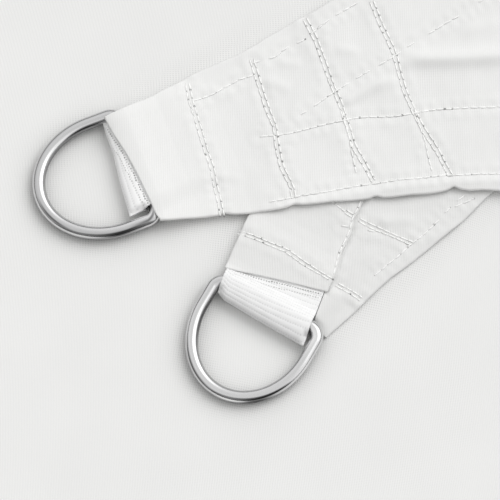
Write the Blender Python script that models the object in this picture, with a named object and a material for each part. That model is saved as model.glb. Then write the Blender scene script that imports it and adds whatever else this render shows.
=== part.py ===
"""A folded triangular shade sail, lying flat, with a webbing loop and a steel D-ring at each corner.

The sail is folded in half, so that two corners meet, and then back and forth into a flat bundle.
Those two corners lie on top of it and the third sticks out at the side. Metres, +Z up.
The origin is on the flat underside, below the middle of the two upper corners.
"""

import math
from collections import namedtuple

import bmesh
import bpy
from mathutils import Euler, Vector

MM = 0.001

# Cloth
CLOTH_THICK = 1.0 * MM
PLY_SPACING = 1.5 * MM            # between the middles of the two halves that are folded together
LAYER_PITCH = 4.0 * MM            # from one folded layer to the next
LAYER_COUNT = 7                   # the first is the two upper corners, the last lies on the floor
CELLS_ACROSS = 8
CELLS_ALONG_LAYER = 8
CELLS_ROUND_FOLD = 5
CELLS_ROUND_CLOSED_END = 4

# Corner of the sail: a narrow wedge that ends at a webbing loop
WEDGE_TIP_BEYOND_BAR = 153 * MM   # where the two edges would meet
WEDGE_HALF_ANGLE = math.radians(11.36)
WEDGE_STRAIGHT = 175 * MM         # the edges run straight this far from the ring's bar
POCKET_START = 9.5 * MM           # cloth end, from the middle of the ring's bar
POCKET_END = 31 * MM
POCKET_FADE_END = 44 * MM
POCKET_THICK = 5.3 * MM
POCKET_HALF_FLAT = 27.5 * MM
POCKET_EDGE_SHARE = 0.2
REST_GAP = 0.3 * MM
POCKET_LIFT = 0.1 * MM
CORNER_CROSSING_RISE = 4.1 * MM   # how far one upper corner climbs to lie over the other
CORNER_CROSSING_RUN = 20 * MM
INNER_FOLD_RADIUS = 1.25 * MM
OUTER_CORNER_GAP = 3.0 * MM

# How the heap of layers lies: flat below the rings, and gently waved outside that.
# Each share is of the heap's own height.
FLAT_MIDDLE = (-10 * MM, 15 * MM)
FLAT_RADIUS = 115 * MM
WAVY_RADIUS = 215 * MM
WAVE_SHARE = 0.045
WAVE_LENGTHS = (446 * MM, 521 * MM)
WAVE_SHIFTS = (0.6, -0.4)
FOLD_RIDGE_SHARE = 0.05
FOLD_RIDGE_RUN = (150 * MM, 245 * MM)
FOLD_MIDDLE_X = 18 * MM
EDGE_SAG_SHARE = 0.09
EDGE_SAG_RUN = (100 * MM, 220 * MM)

# Webbing and its slot
WEB_WIDTH = 50 * MM
WEB_THICK = 1.2 * MM
WEB_LEG_GAP = 0.3 * MM
WEB_CONVERGE_START = 1.0 * MM
WEB_CONVERGE_END = 8.5 * MM
WEB_END = 28.5 * MM
SLOT_HALF_HEIGHT = 1.65 * MM
SLOT_HALF_WIDTH = 25.4 * MM
SLOT_END = 30 * MM

# D-ring of round wire. Its bow is half an ellipse, and two small corners lead on to the bar.
RING_WIRE = 6.4 * MM
RING_HALF_WIDTH = 28.8 * MM       # of the wire's middle, so 51.2 mm clear inside
RING_DEPTH = 50.5 * MM            # from the bar to the far end, wire middles
RING_BOW_LENGTH = 34.5 * MM       # of that depth, the length of the half ellipse
RING_CORNER = 6.0 * MM
BAR_HEIGHT = 4.7 * MM             # above what the loop lies on
FAR_HEIGHT = 3.2 * MM

# Colours (linear)
CLOTH_COLOUR = (0.82, 0.82, 0.805, 1)
WEB_COLOUR = (0.88, 0.88, 0.88, 1)
STEEL_COLOUR = (0.62, 0.62, 0.63, 1)

# Where each corner lies: the middle of its bar, the way the cloth runs from it, and the way the
# ring lies. Loop reach is how far the webbing stands out past the bar, at its two edges.
Corner = namedtuple("Corner", "x y cloth_heading ring_heading loop_left loop_right")
CORNERS = {
    "a": Corner(-19.7 * MM, 67.3 * MM, -18.4, -14.2, 8.2 * MM, 10.2 * MM),
    "b": Corner(-8.2 * MM, -28.7 * MM, 18.8, 25.4, 6.4 * MM, 9.6 * MM),
    "c": Corner(168.0 * MM, 336.0 * MM, -90.0, -87.0, 7.0 * MM, 7.6 * MM),
}

# Each fold's line: its place, how far it slants across the cloth, how far it bows, and the two
# ends of the cloth there. Odd folds are on the right and even ones on the left.
Fold = namedtuple("Fold", "x slant bow low high")
FOLDS = {
    1: Fold(252 * MM, 3 * MM, 2 * MM, -104 * MM, 74 * MM),
    2: Fold(-214 * MM, -7 * MM, 3 * MM, -211 * MM, 213 * MM),
    3: Fold(247 * MM, 6 * MM, -2 * MM, -207 * MM, 209 * MM),
    4: Fold(-209 * MM, 5 * MM, -2 * MM, -213 * MM, 206 * MM),
    5: Fold(255 * MM, -5 * MM, 3 * MM, -208 * MM, 211 * MM),
    6: Fold(-217 * MM, 3 * MM, 2 * MM, -206 * MM, 208 * MM),
    7: Fold(250 * MM, -4 * MM, -3 * MM, -210 * MM, 212 * MM),
}
UNDER_CORNER_AT_FOLD = (-42 * MM, 132 * MM)    # ends of the lower corner's cloth at the first fold
TOP_LAYER_WIDEN = 0.45                          # share of the top layer over which it widens

# How far the two long edges of each layer swing out between its folds.
EdgeSwing = namedtuple("EdgeSwing", "low high")
EDGE_SWINGS = {
    2: EdgeSwing(4 * MM, -3 * MM),
    3: EdgeSwing(-5 * MM, 4 * MM),
    4: EdgeSwing(3 * MM, 5 * MM),
    5: EdgeSwing(-4 * MM, -4 * MM),
    6: EdgeSwing(5 * MM, 3 * MM),
    7: EdgeSwing(-2 * MM, 0 * MM),
}

# Third corner
TONGUE_FIRST_COLUMN = 0.70         # share of the bottom layer, from left to right
TONGUE_LAST_COLUMN = 0.94
TONGUE_CELLS = 6
TONGUE_ROWS = (9.5, 13, 18, 24, 31, 37.5, 44, 58, 78, 100)

CORNER_COLUMNS = (9.5, 13, 18, 24, 31, 37.5, 44, 54, 68, 85, 105, 130, 155, 175)
CORNER_TO_FOLD_CELLS = 3


def smooth_step(start, end, value):
    share = min(1.0, max(0.0, (value - start) / (end - start)))
    return share * share * (3 - 2 * share)


def mix(first, second, share):
    return first + (second - first) * share


def heading_vector(degrees):
    angle = math.radians(degrees)
    return Vector((math.cos(angle), math.sin(angle), 0))


def clear_scene():
    for item in list(bpy.data.objects):
        bpy.data.objects.remove(item, do_unlink=True)


def make_material(name, colour, roughness, metallic):
    material = bpy.data.materials.new(name)
    material.use_nodes = True
    shader = material.node_tree.nodes["Principled BSDF"]
    shader.inputs["Base Color"].default_value = colour
    shader.inputs["Roughness"].default_value = roughness
    shader.inputs["Metallic"].default_value = metallic
    material.diffuse_color = colour
    return material


def add_object(name, data, material=None):
    item = bpy.data.objects.new(name, data)
    bpy.context.scene.collection.objects.link(item)
    if material:
        data.materials.append(material)
    return item


# Heights of the folded layers. The first half of the sail is side +1, the second is side -1.

def layer_direction(layer):
    return 1 if layer % 2 else -1


def layer_height(layer, side):
    middle = (PLY_SPACING + CLOTH_THICK) / 2 + LAYER_PITCH * (LAYER_COUNT - layer)
    return middle + side * layer_direction(layer) * PLY_SPACING / 2


def bundle_top():
    return layer_height(2, -1) + CLOTH_THICK / 2


def lie_scale(x, y):
    """How much the heap of layers is raised or pressed down at a place."""
    reach = math.hypot(x - FLAT_MIDDLE[0], y - FLAT_MIDDLE[1])
    outside = smooth_step(FLAT_RADIUS, WAVY_RADIUS, reach)
    wave_x = math.sin(math.tau * x / WAVE_LENGTHS[0] + WAVE_SHIFTS[0])
    wave_y = math.cos(math.tau * y / WAVE_LENGTHS[1] + WAVE_SHIFTS[1])
    waves = WAVE_SHARE * outside * wave_x * wave_y
    fold_ridge = FOLD_RIDGE_SHARE * smooth_step(*FOLD_RIDGE_RUN, abs(x - FOLD_MIDDLE_X))
    edge_sag = EDGE_SAG_SHARE * smooth_step(*EDGE_SAG_RUN, abs(y))
    return 1 + waves + fold_ridge - edge_sag


def settle(point):
    floor_sheet = CLOTH_THICK / 2
    height = floor_sheet + (point.z - floor_sheet) * lie_scale(point.x, point.y)
    return Vector((point.x, point.y, height))


# Plan of the folded strip. The share across runs from 0 at the low edge to 1 at the high edge.

def fold_ends(number, side):
    if number == 1 and side < 0:
        return UNDER_CORNER_AT_FOLD
    fold = FOLDS[number]
    return fold.low, fold.high


def fold_point(number, side, across):
    fold = FOLDS[number]
    low, high = fold_ends(number, side)
    x = fold.x + fold.slant * (across - 0.5) + fold.bow * math.sin(math.pi * across)
    return Vector((x, mix(low, high, across), 0))


def layer_point(layer, side, along, across):
    """A place on a layer, with along from the fold above it (0) to the fold below it (1)."""
    start = fold_point(layer - 1, side, across)
    end = fold_point(layer, side, across)
    x = mix(start.x, end.x, along)
    widening = smooth_step(0, TOP_LAYER_WIDEN, along) if layer == 2 else along
    swing = EDGE_SWINGS[layer]
    bulge = math.sin(math.pi * along)
    y = mix(start.y, end.y, widening)
    y += bulge * mix(-swing.low, swing.high, across)
    return Vector((x, y, layer_height(layer, side)))


def arc_point(number, side, turn, across):
    """A place on a rounded fold, with turn from 0 (upper layer) to 1 (lower layer)."""
    upper = corner_height_at_fold(side) if number == 1 else layer_height(number, side)
    lower = layer_height(number + 1, side)
    radius = (upper - lower) / 2
    point = fold_point(number, side, across)
    angle = math.pi * turn
    point.x += layer_direction(number) * radius * math.sin(angle)
    point.z = (upper + lower) / 2 + radius * math.cos(angle)
    return point


def closed_end_point(turn, across):
    upper = layer_height(LAYER_COUNT, 1)
    lower = layer_height(LAYER_COUNT, -1)
    radius = (upper - lower) / 2
    point = fold_point(LAYER_COUNT, 1, across)
    angle = math.pi * turn
    point.x += radius * math.sin(angle)
    point.z = (upper + lower) / 2 + radius * math.cos(angle)
    return point


# Corners

def corner_half_width(distance):
    return (WEDGE_TIP_BEYOND_BAR + distance) * math.tan(WEDGE_HALF_ANGLE)


def corner_plan(corner, distance, sideways):
    """A place at a distance from the bar, with sideways -1 and 1 at the two edges."""
    heading = heading_vector(corner.cloth_heading)
    left = Vector((-heading.y, heading.x, 0))
    middle = Vector((corner.x, corner.y, 0)) + heading * distance
    return middle + left * (sideways * corner_half_width(distance))


def pocket_thickness(distance, sideways):
    lateral = abs(sideways) * corner_half_width(distance)
    lengthwise = 1 - smooth_step(POCKET_END, POCKET_FADE_END, distance)
    outer = smooth_step(POCKET_HALF_FLAT, POCKET_HALF_FLAT + 5 * MM, lateral)
    crosswise = 1 - (1 - POCKET_EDGE_SHARE) * outer
    return CLOTH_THICK + (POCKET_THICK - CLOTH_THICK) * lengthwise * crosswise


def corner_height_at_fold(side):
    inner = layer_height(2, -1) + 2 * INNER_FOLD_RADIUS
    return inner + OUTER_CORNER_GAP if side > 0 else inner


def crossing_rise(point):
    """The upper corner climbs as it comes to the left edge of the corner under it."""
    under = CORNERS["b"]
    edge_start = corner_plan(under, 0, 1)
    edge_end = corner_plan(under, WEDGE_STRAIGHT, 1)
    edge = (edge_end - edge_start).normalized()
    inward = Vector((edge.y, -edge.x, 0))
    inside = (point - edge_start).dot(inward)
    return CORNER_CROSSING_RISE * smooth_step(-CORNER_CROSSING_RUN, 0, inside)


def upper_corner_point(name, distance, fold_share, across):
    """A place on corner a or b. Past the straight wedge, fold_share leads on to the first fold."""
    corner = CORNERS[name]
    side = 1 if name == "a" else -1
    sideways = 2 * across - 1
    thickness = pocket_thickness(distance, sideways)
    plan = corner_plan(corner, distance, sideways)
    if fold_share > 0:
        plan = plan.lerp(fold_point(1, side, across), fold_share)
    height = bundle_top() + REST_GAP + POCKET_LIFT + thickness / 2
    if side > 0:
        height += crossing_rise(plan)
    climb = corner_height_at_fold(side) - height
    height += climb * smooth_step(0, 1, fold_share)
    plan.z = height
    return plan, thickness


def strip_columns():
    """Every column of the cloth's grid, from corner a, down and round the closed end, to corner b.

    A column is a function that gives a place and the cloth's thickness for a share across.
    """
    def corner_column(name, distance, fold_share):
        return lambda across: upper_corner_point(name, distance, fold_share, across)

    def layer_column(layer, side, along):
        return lambda across: (layer_point(layer, side, along, across), CLOTH_THICK)

    def arc_column(number, side, turn):
        return lambda across: (arc_point(number, side, turn, across), CLOTH_THICK)

    def closed_column(turn):
        return lambda across: (closed_end_point(turn, across), CLOTH_THICK)

    def corner_columns(name):
        columns = [corner_column(name, distance * MM, 0) for distance in CORNER_COLUMNS]
        for step in range(1, CORNER_TO_FOLD_CELLS):
            columns.append(corner_column(name, WEDGE_STRAIGHT, step / CORNER_TO_FOLD_CELLS))
        return columns

    def folded_columns(side):
        columns = []
        for layer in range(2, LAYER_COUNT + 1):
            for step in range(CELLS_ROUND_FOLD + 1):
                columns.append(arc_column(layer - 1, side, step / CELLS_ROUND_FOLD))
            for along in layer_shares(layer, side):
                columns.append(layer_column(layer, side, along))
        return columns

    halves = [corner_columns("a") + folded_columns(1)]
    for step in range(CELLS_ROUND_CLOSED_END + 1):
        halves.append([closed_column(step / CELLS_ROUND_CLOSED_END)])
    halves.append(list(reversed(corner_columns("b") + folded_columns(-1))))
    return [column for part in halves for column in part]


def layer_shares(layer, side):
    """Shares along a layer, between its folds. They are closer together where the top layer
    widens, and where the third corner joins the bottom one."""
    shares = [step / CELLS_ALONG_LAYER for step in range(1, CELLS_ALONG_LAYER)]
    if layer == 2:
        widening = range(1, CELLS_ALONG_LAYER, 2)
        shares = sorted(shares + [step / CELLS_ALONG_LAYER / 2 for step in widening])
    if layer == LAYER_COUNT and side < 0:
        shares = [share for share in shares if share < TONGUE_FIRST_COLUMN - 0.03]
        shares += tongue_shares()
    return shares


def tongue_shares():
    span = TONGUE_LAST_COLUMN - TONGUE_FIRST_COLUMN
    return [TONGUE_FIRST_COLUMN + span * step / TONGUE_CELLS for step in range(TONGUE_CELLS + 1)]


def tongue_point(distance, sideways):
    corner = CORNERS["c"]
    thickness = pocket_thickness(distance, sideways)
    plan = corner_plan(corner, distance, sideways)
    lift = POCKET_LIFT * (1 - smooth_step(POCKET_END, POCKET_FADE_END, distance))
    plan.z = lift + thickness / 2
    return plan, thickness


def build_cloth_mesh():
    """The cloth's middle surface, and a weight on each vertex that sets its thickness."""
    columns = strip_columns()
    mesh_grid = bmesh.new()
    weight_layer = mesh_grid.verts.layers.deform.verify()

    def add_vertex(place, thickness):
        vertex = mesh_grid.verts.new(place)
        share = (thickness - CLOTH_THICK) / (POCKET_THICK - CLOTH_THICK)
        vertex[weight_layer][0] = share
        return vertex

    strip = []
    for column in columns:
        row = []
        for cell in range(CELLS_ACROSS + 1):
            place, thickness = column(cell / CELLS_ACROSS)
            row.append(add_vertex(settle(place), thickness))
        strip.append(row)
    for first, second in zip(strip, strip[1:]):
        for cell in range(CELLS_ACROSS):
            mesh_grid.faces.new((first[cell], second[cell], second[cell + 1], first[cell + 1]))

    add_tongue(mesh_grid, add_vertex, tongue_base(strip))
    bmesh.ops.recalc_face_normals(mesh_grid, faces=mesh_grid.faces)
    mesh = bpy.data.meshes.new("sail_cloth")
    mesh_grid.to_mesh(mesh)
    mesh_grid.free()
    return mesh


def tongue_base(strip):
    """The vertices on the bottom layer's far edge, from which the third corner grows."""
    targets = [layer_point(LAYER_COUNT, -1, share, 1) for share in tongue_shares()]
    edge = [row[-1] for row in strip]
    return [min(edge, key=lambda vertex: (vertex.co - target).length) for target in targets]


def add_tongue(mesh_grid, add_vertex, base):
    """The third corner is a grid of rows, from its tip back to the bottom layer's far edge."""
    rows = []
    for distance in TONGUE_ROWS:
        row = []
        for cell in range(TONGUE_CELLS + 1):
            sideways = -1 + 2 * cell / TONGUE_CELLS
            place, thickness = tongue_point(distance * MM, sideways)
            row.append(add_vertex(place, thickness))
        rows.append(row)
    rows.append(base)
    for first, second in zip(rows, rows[1:]):
        for cell in range(TONGUE_CELLS):
            mesh_grid.faces.new((first[cell], first[cell + 1], second[cell + 1], second[cell]))


def build_sail_cloth(material, frames):
    mesh = build_cloth_mesh()
    cloth = add_object("sail_cloth", mesh, material)
    cloth.vertex_groups.new(name="pocket")
    solidify = cloth.modifiers.new("cloth thickness", "SOLIDIFY")
    solidify.thickness = POCKET_THICK
    solidify.offset = 0
    solidify.vertex_group = "pocket"
    solidify.thickness_vertex_group = CLOTH_THICK / POCKET_THICK
    cutters = [build_slot_cutter(name, frames[name]) for name in CORNERS]
    cutters.append(build_ply_cutter(frames["b"]))
    for cutter in cutters:
        cut = cloth.modifiers.new(cutter.name, "BOOLEAN")
        cut.operation = "DIFFERENCE"
        cut.solver = "EXACT"
        cut.object = cutter
    return cloth


# Cutters are outlines in the ring's own frame: x runs in from the bar, y along it, z up.

def extrude_outline(name, outline, direction, frame):
    shape = bmesh.new()
    face = shape.faces.new([shape.verts.new(point) for point in outline])
    extruded = bmesh.ops.extrude_face_region(shape, geom=[face])
    moved = [item for item in extruded["geom"] if isinstance(item, bmesh.types.BMVert)]
    bmesh.ops.translate(shape, verts=moved, vec=direction)
    bmesh.ops.recalc_face_normals(shape, faces=shape.faces)
    mesh = bpy.data.meshes.new(name)
    shape.to_mesh(mesh)
    shape.free()
    cutter = add_object(name, mesh)
    cutter.parent = frame
    cutter.hide_render = True
    cutter.display_type = "WIRE"
    return cutter


def slot_middle():
    return POCKET_LIFT + POCKET_THICK / 2 - BAR_HEIGHT


def build_slot_cutter(name, frame):
    """A tall mouth before the cloth's end, and a low slot behind it for the webbing's legs."""
    mouth_start = -12 * MM
    mouth_end = POCKET_START - 0.2 * MM
    tall = 10 * MM
    profile = (
        (mouth_start, -tall), (mouth_end, -tall), (mouth_end, -SLOT_HALF_HEIGHT),
        (SLOT_END, -SLOT_HALF_HEIGHT), (SLOT_END, SLOT_HALF_HEIGHT),
        (mouth_end, SLOT_HALF_HEIGHT), (mouth_end, tall), (mouth_start, tall),
    )
    outline = [Vector((u, -SLOT_HALF_WIDTH, slot_middle() + z)) for u, z in profile]
    across = Vector((0, 2 * SLOT_HALF_WIDTH, 0))
    return extrude_outline("slot_cutter_" + name, outline, across, frame)


def build_ply_cutter(frame):
    """On corner b the upper ply is cut back on a slant, so that more of the webbing shows."""
    start = -12 * MM
    left_end = 7.0 * MM
    right_end = 20.2 * MM
    corner_inset = 2 * MM
    plan = (
        (start, SLOT_HALF_WIDTH), (left_end, SLOT_HALF_WIDTH),
        (right_end, -SLOT_HALF_WIDTH + corner_inset), (right_end, -SLOT_HALF_WIDTH),
        (start, -SLOT_HALF_WIDTH),
    )
    outline = [Vector((u, v, slot_middle())) for u, v in plan]
    return extrude_outline("ply_cutter_b", outline, Vector((0, 0, 10 * MM)), frame)


# Webbing

def webbing_profile(loop_reach):
    """The loop's middle line from the end of the lower leg, round the bar, to the upper leg."""
    clear = RING_WIRE / 2 + REST_GAP + WEB_THICK / 2
    leg_offset = (WEB_LEG_GAP + WEB_THICK) / 2
    converge_steps = 7
    loop_steps = 12

    def leg(sign):
        points = []
        for step in range(converge_steps + 1):
            share = step / converge_steps
            u = mix(WEB_CONVERGE_START, WEB_CONVERGE_END, share)
            end_height = slot_middle() + sign * leg_offset
            points.append((u, mix(sign * clear, end_height, smooth_step(0, 1, share))))
        points.append((WEB_END, points[-1][1]))
        return points

    loop = []
    for step in range(loop_steps + 1):
        angle = -math.pi / 2 - math.pi * step / loop_steps
        reach = loop_reach - WEB_THICK / 2
        loop.append((reach * math.cos(angle), clear * math.sin(angle)))
    return list(reversed(leg(-1))) + loop + leg(1)


def build_webbing(name, material, frame):
    corner = CORNERS[name]
    strips = 4
    band = bmesh.new()
    rows = []
    for step in range(strips + 1):
        share = step / strips
        profile = webbing_profile(mix(corner.loop_right, corner.loop_left, share))
        v = mix(-WEB_WIDTH / 2, WEB_WIDTH / 2, share)
        rows.append([band.verts.new((u, v, z)) for u, z in profile])
    for first, second in zip(rows, rows[1:]):
        for index in range(len(first) - 1):
            band.faces.new((first[index], first[index + 1], second[index + 1], second[index]))
    bmesh.ops.recalc_face_normals(band, faces=band.faces)
    mesh = bpy.data.meshes.new("webbing_" + name)
    band.to_mesh(mesh)
    band.free()
    webbing = add_object("webbing_" + name, mesh, material)
    webbing.parent = frame
    solidify = webbing.modifiers.new("webbing thickness", "SOLIDIFY")
    solidify.thickness = WEB_THICK
    solidify.offset = 0
    solidify.use_even_offset = True
    return webbing


# D-ring

def ring_outline():
    """The wire's middle line: half an ellipse, and a small corner on each side of the bar."""
    corner_steps = 5
    bow_steps = 24
    points = []

    def add_arc(centre_x, centre_y, reach_x, reach_y, start, end, steps):
        for step in range(steps + 1):
            angle = math.radians(mix(start, end, step / steps))
            points.append((centre_x + reach_x * math.cos(angle), centre_y + reach_y * math.sin(angle)))

    bow_start = RING_BOW_LENGTH - RING_DEPTH
    corner_y = RING_HALF_WIDTH - RING_CORNER
    add_arc(-RING_CORNER, corner_y, RING_CORNER, RING_CORNER, 0, 90, corner_steps)
    add_arc(bow_start, 0, RING_BOW_LENGTH, RING_HALF_WIDTH, 90, 270, bow_steps)
    add_arc(-RING_CORNER, -corner_y, RING_CORNER, RING_CORNER, 270, 360, corner_steps)
    return points


def build_ring(name, material, frame):
    curve = bpy.data.curves.new("d_ring_" + name, "CURVE")
    curve.dimensions = "3D"
    curve.bevel_depth = RING_WIRE / 2
    curve.bevel_resolution = 4
    spline = curve.splines.new("POLY")
    outline = ring_outline()
    spline.points.add(len(outline) - 1)
    for point, (x, y) in zip(spline.points, outline):
        point.co = (x, y, 0, 1)
    spline.use_cyclic_u = True
    spline.use_smooth = True
    ring = add_object("d_ring_" + name, curve, material)
    ring.parent = frame
    tilt = math.asin((BAR_HEIGHT - FAR_HEIGHT) / RING_DEPTH)
    ring.rotation_euler = Euler((0, -tilt, 0))
    return ring


def build_frame(name):
    """An empty at the middle of a ring's bar, turned the way the ring lies."""
    corner = CORNERS[name]
    ground = 0 if name == "c" else bundle_top() + REST_GAP
    frame = add_object("corner_frame_" + name, None)
    frame.location = (corner.x, corner.y, ground + BAR_HEIGHT)
    frame.rotation_euler = Euler((0, 0, math.radians(corner.ring_heading)))
    return frame


def main():
    clear_scene()
    cloth_material = make_material("sail cloth", CLOTH_COLOUR, 0.85, 0)
    web_material = make_material("white webbing", WEB_COLOUR, 0.7, 0)
    steel_material = make_material("polished steel", STEEL_COLOUR, 0.12, 1)
    frames = {name: build_frame(name) for name in CORNERS}
    for name, frame in frames.items():
        build_webbing(name, web_material, frame)
        build_ring(name, steel_material, frame)
    bpy.context.view_layer.update()
    build_sail_cloth(cloth_material, frames)


main()
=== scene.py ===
import math

import bmesh
import bpy
import numpy as np
from mathutils import Matrix, Vector


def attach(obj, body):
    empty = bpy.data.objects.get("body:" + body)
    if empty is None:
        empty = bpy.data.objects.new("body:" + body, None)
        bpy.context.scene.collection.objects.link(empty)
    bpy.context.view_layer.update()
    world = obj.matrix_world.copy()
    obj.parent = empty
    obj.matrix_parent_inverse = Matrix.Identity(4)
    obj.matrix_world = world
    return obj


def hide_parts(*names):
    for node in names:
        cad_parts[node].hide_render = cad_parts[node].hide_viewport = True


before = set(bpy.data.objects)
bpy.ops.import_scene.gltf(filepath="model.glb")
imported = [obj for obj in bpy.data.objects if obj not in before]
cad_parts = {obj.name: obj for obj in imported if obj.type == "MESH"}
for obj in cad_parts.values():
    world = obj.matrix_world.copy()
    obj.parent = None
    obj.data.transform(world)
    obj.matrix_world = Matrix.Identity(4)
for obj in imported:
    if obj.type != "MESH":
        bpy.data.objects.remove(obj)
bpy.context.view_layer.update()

# A shade sail, folded flat, with two corners on top and the third out at the side.
# All sizes here are in millimetres. A mesh gets metres as it is made.
metres = 0.001


def mix(first, second, share):
    return first + (second - first) * share


def smoothStep(start, end, value):
    share = np.clip((value - start) / (end - start), 0, 1)
    return share * share * (3 - 2 * share)


def fromTable(value, table):    # rows of (place, amount), joined by straight lines
    return np.interp(value, [row[0] for row in table], [row[1] for row in table])


def bell(distance, width):
    return np.exp(-(distance / width) ** 2)


def turned(x, y, degrees):
    turn = math.radians(degrees)
    return x * math.cos(turn) - y * math.sin(turn), x * math.sin(turn) + y * math.cos(turn)


def lengthsAlong(points):    # from the first of a row of points to each one
    steps = np.linalg.norm(np.diff(points, axis=0), axis=-1)
    return np.concatenate([np.zeros((1, *steps.shape[1:])), np.cumsum(steps, axis=0)])


# Uneven ground between about -1 and 1, the same on each run.
def unevenness(x, y, size, seed):
    draw = np.random.default_rng(seed)
    waves = 9
    total = np.zeros(np.shape(x))
    for _ in range(waves):
        heading = draw.uniform(0, math.tau)
        length = size * draw.uniform(0.6, 1.7)
        shift = draw.uniform(0, math.tau)
        total = total + np.sin(math.tau * (x * math.cos(heading) + y * math.sin(heading)) / length + shift)
    return total / math.sqrt(waves) / 1.4


# Materials are made of a few kinds of node. An input is a number, a colour or another node's output.
def setInputs(tree, node, inputs):
    for place, value in inputs.items():
        if isinstance(value, bpy.types.NodeSocket):
            tree.links.new(value, node.inputs[place])
        else:
            node.inputs[place].default_value = value
    return node


def addNode(tree, kind, inputs, **settings):
    node = tree.nodes.new("ShaderNode" + kind)
    for setting, value in settings.items():
        setattr(node, setting, value)
    return setInputs(tree, node, inputs)


def newMaterial(name, colour, roughness):
    material = bpy.data.materials.new(name)
    material.use_nodes = True
    tree = material.node_tree
    shader = tree.nodes["Principled BSDF"]
    setInputs(tree, shader, {"Base Color": (*colour, 1), "Roughness": roughness})
    return material, tree, shader


def mappedPlace(tree, uvName=None, turn=0.0):    # on the piece's own flat map, or in space
    if uvName:
        place = addNode(tree, "UVMap", {}, uv_map=uvName).outputs["UV"]
    else:
        place = addNode(tree, "TexCoord", {}).outputs["Object"]
    mapping = addNode(tree, "Mapping", {"Vector": place, "Rotation": (0, 0, math.radians(turn))})
    return mapping.outputs["Vector"]


def threadBands(tree, place, direction, pitch, distortion=0.0):
    scale = math.tau / 20 / (pitch * metres)    # at a scale of 1, twenty bands take up tau metres
    bands = addNode(tree, "TexWave", {"Vector": place, "Scale": scale, "Distortion": distortion,
                                      "Detail": 1.0, "Detail Scale": 0.6}, bands_direction=direction)
    return bands.outputs["Fac"]


def noise(tree, place, size, detail=3.0, roughness=0.55):
    texture = addNode(tree, "TexNoise", {"Vector": place, "Scale": 1 / (size * metres),
                                         "Detail": detail, "Roughness": roughness})
    return texture.outputs["Fac"]


def maths(tree, operation, first, second):
    return addNode(tree, "Math", {0: first, 1: second}, operation=operation).outputs[0]


def product(tree, value, *others):
    for other in others:
        value = maths(tree, "MULTIPLY", value, other)
    return value


def summed(tree, value, *others):
    for other in others:
        value = maths(tree, "ADD", value, other)
    return value


def colourRamp(tree, factor, stops):    # stops are pairs of place and colour
    ramp = addNode(tree, "ValToRGB", {"Fac": factor})
    elements = ramp.color_ramp.elements
    elements[0].position = stops[0][0]
    elements[1].position = stops[-1][0]
    for position, _ in stops[1:-1]:
        elements.new(position)
    for element, (_, colour) in zip(elements, stops):
        element.color = (*colour, 1)
    return ramp.outputs["Color"]


def bumps(tree, height, depth, strength=1.0):
    inputs = {"Height": height, "Distance": depth * metres, "Strength": strength}
    return addNode(tree, "Bump", inputs).outputs["Normal"]


def onMesh(tree, name):    # a number that the mesh carries at each of its points
    return addNode(tree, "Attribute", {}, attribute_name=name).outputs["Fac"]


clothFinish = {
    "colour": (0.82, 0.82, 0.812),
    "shade": (0.78, 0.78, 0.773),    # in the slubs and the thinner places
    "shadeRun": (0.25, 0.75),
    "roughness": 0.82,
    "sheen": 0.12,
    "gloss": 0.3,
    "ribPitch": 1.3,    # coarse warp ribs
    "weftPitch": 0.72,
    "weftShare": 0.45,    # of the relief, beside the ribs
    "slubSize": 3.5,
    "slubShare": 0.9,
    "relief": 0.035,
    "patchSize": 60,
    "weaveGapShade": (0.62, 0.62, 0.615),    # painted shade in the gaps of the weave, beside the rings and the corners' edges
    "hatchPitch": 1.2,
    "hatchTurn": 9,    # from the ribs, in degrees
}


# the last argument paints a copy of the cloth darker, as shade
def clothMaterial(name, ribTurn, ribPitch, shadeDim=1.0):
    light = tuple(level * shadeDim for level in clothFinish["colour"])
    shade = tuple(level * shadeDim for level in clothFinish["shade"])
    material, tree, shader = newMaterial(name, light, clothFinish["roughness"])
    place = mappedPlace(tree, "clothUv", ribTurn)
    ribs = threadBands(tree, place, "X", ribPitch, 0.25)
    weft = threadBands(tree, place, "Y", clothFinish["weftPitch"], 0.15)
    slubs = noise(tree, place, clothFinish["slubSize"])
    weave = summed(tree, ribs, product(tree, weft, clothFinish["weftShare"]),
                   product(tree, slubs, clothFinish["slubShare"]))
    patches = noise(tree, place, clothFinish["patchSize"], 2.0)
    tone = summed(tree, product(tree, patches, 0.7), product(tree, ribs, 0.3))
    low, high = clothFinish["shadeRun"]
    colour = colourRamp(tree, tone, [(low, shade), (high, light)])
    # the weave's gaps are painted darker as shade beside the rings and the corners' edges
    hatchPlace = mappedPlace(tree, "clothUv", ribTurn + clothFinish["hatchTurn"])
    gaps = [threadBands(tree, hatchPlace, direction, clothFinish["hatchPitch"]) for direction in "XY"]
    weaveGapShade = {"Factor": product(tree, *gaps, onMesh(tree, "near")), 6: colour, 7: (*clothFinish["weaveGapShade"], 1)}
    hatched = addNode(tree, "Mix", weaveGapShade, data_type="RGBA").outputs[2]
    setInputs(tree, shader, {"Base Color": hatched, "Normal": bumps(tree, weave, clothFinish["relief"]),
                             "Sheen Weight": clothFinish["sheen"], "Sheen Roughness": 0.5,
                             "Specular IOR Level": clothFinish["gloss"]})
    return material


webbingFinish = {
    "colour": (0.86, 0.86, 0.86),
    "valleyShadeStrength": 0.62,    # how strongly the painted shade in the valleys shows
    # the upper corner's webbing is painted lighter, as light on it, with less painted shade in its valleys
    "litColourOnA": (0.97, 0.97, 0.97),
    "shadeStrengthOnA": 0.5,
    # the colour painted as shade in the valleys and pits
    "valleyShadeColour": (0.34, 0.34, 0.35),
    "valleyRun": (0.05, 0.9),
    "betweenPits": 0.25,    # how much of the valley's painted shade shows between its pits
    "mouthShade": 0.6,    # painted shade: more at the mouth, where the upper cloth's shadow falls, and the rest all over
    "evenShade": 0.62,
    "roughness": 0.65,
    "sheen": 0.15,
    "yarnPitch": 0.5,
    "relief": 0.03,
}


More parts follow.
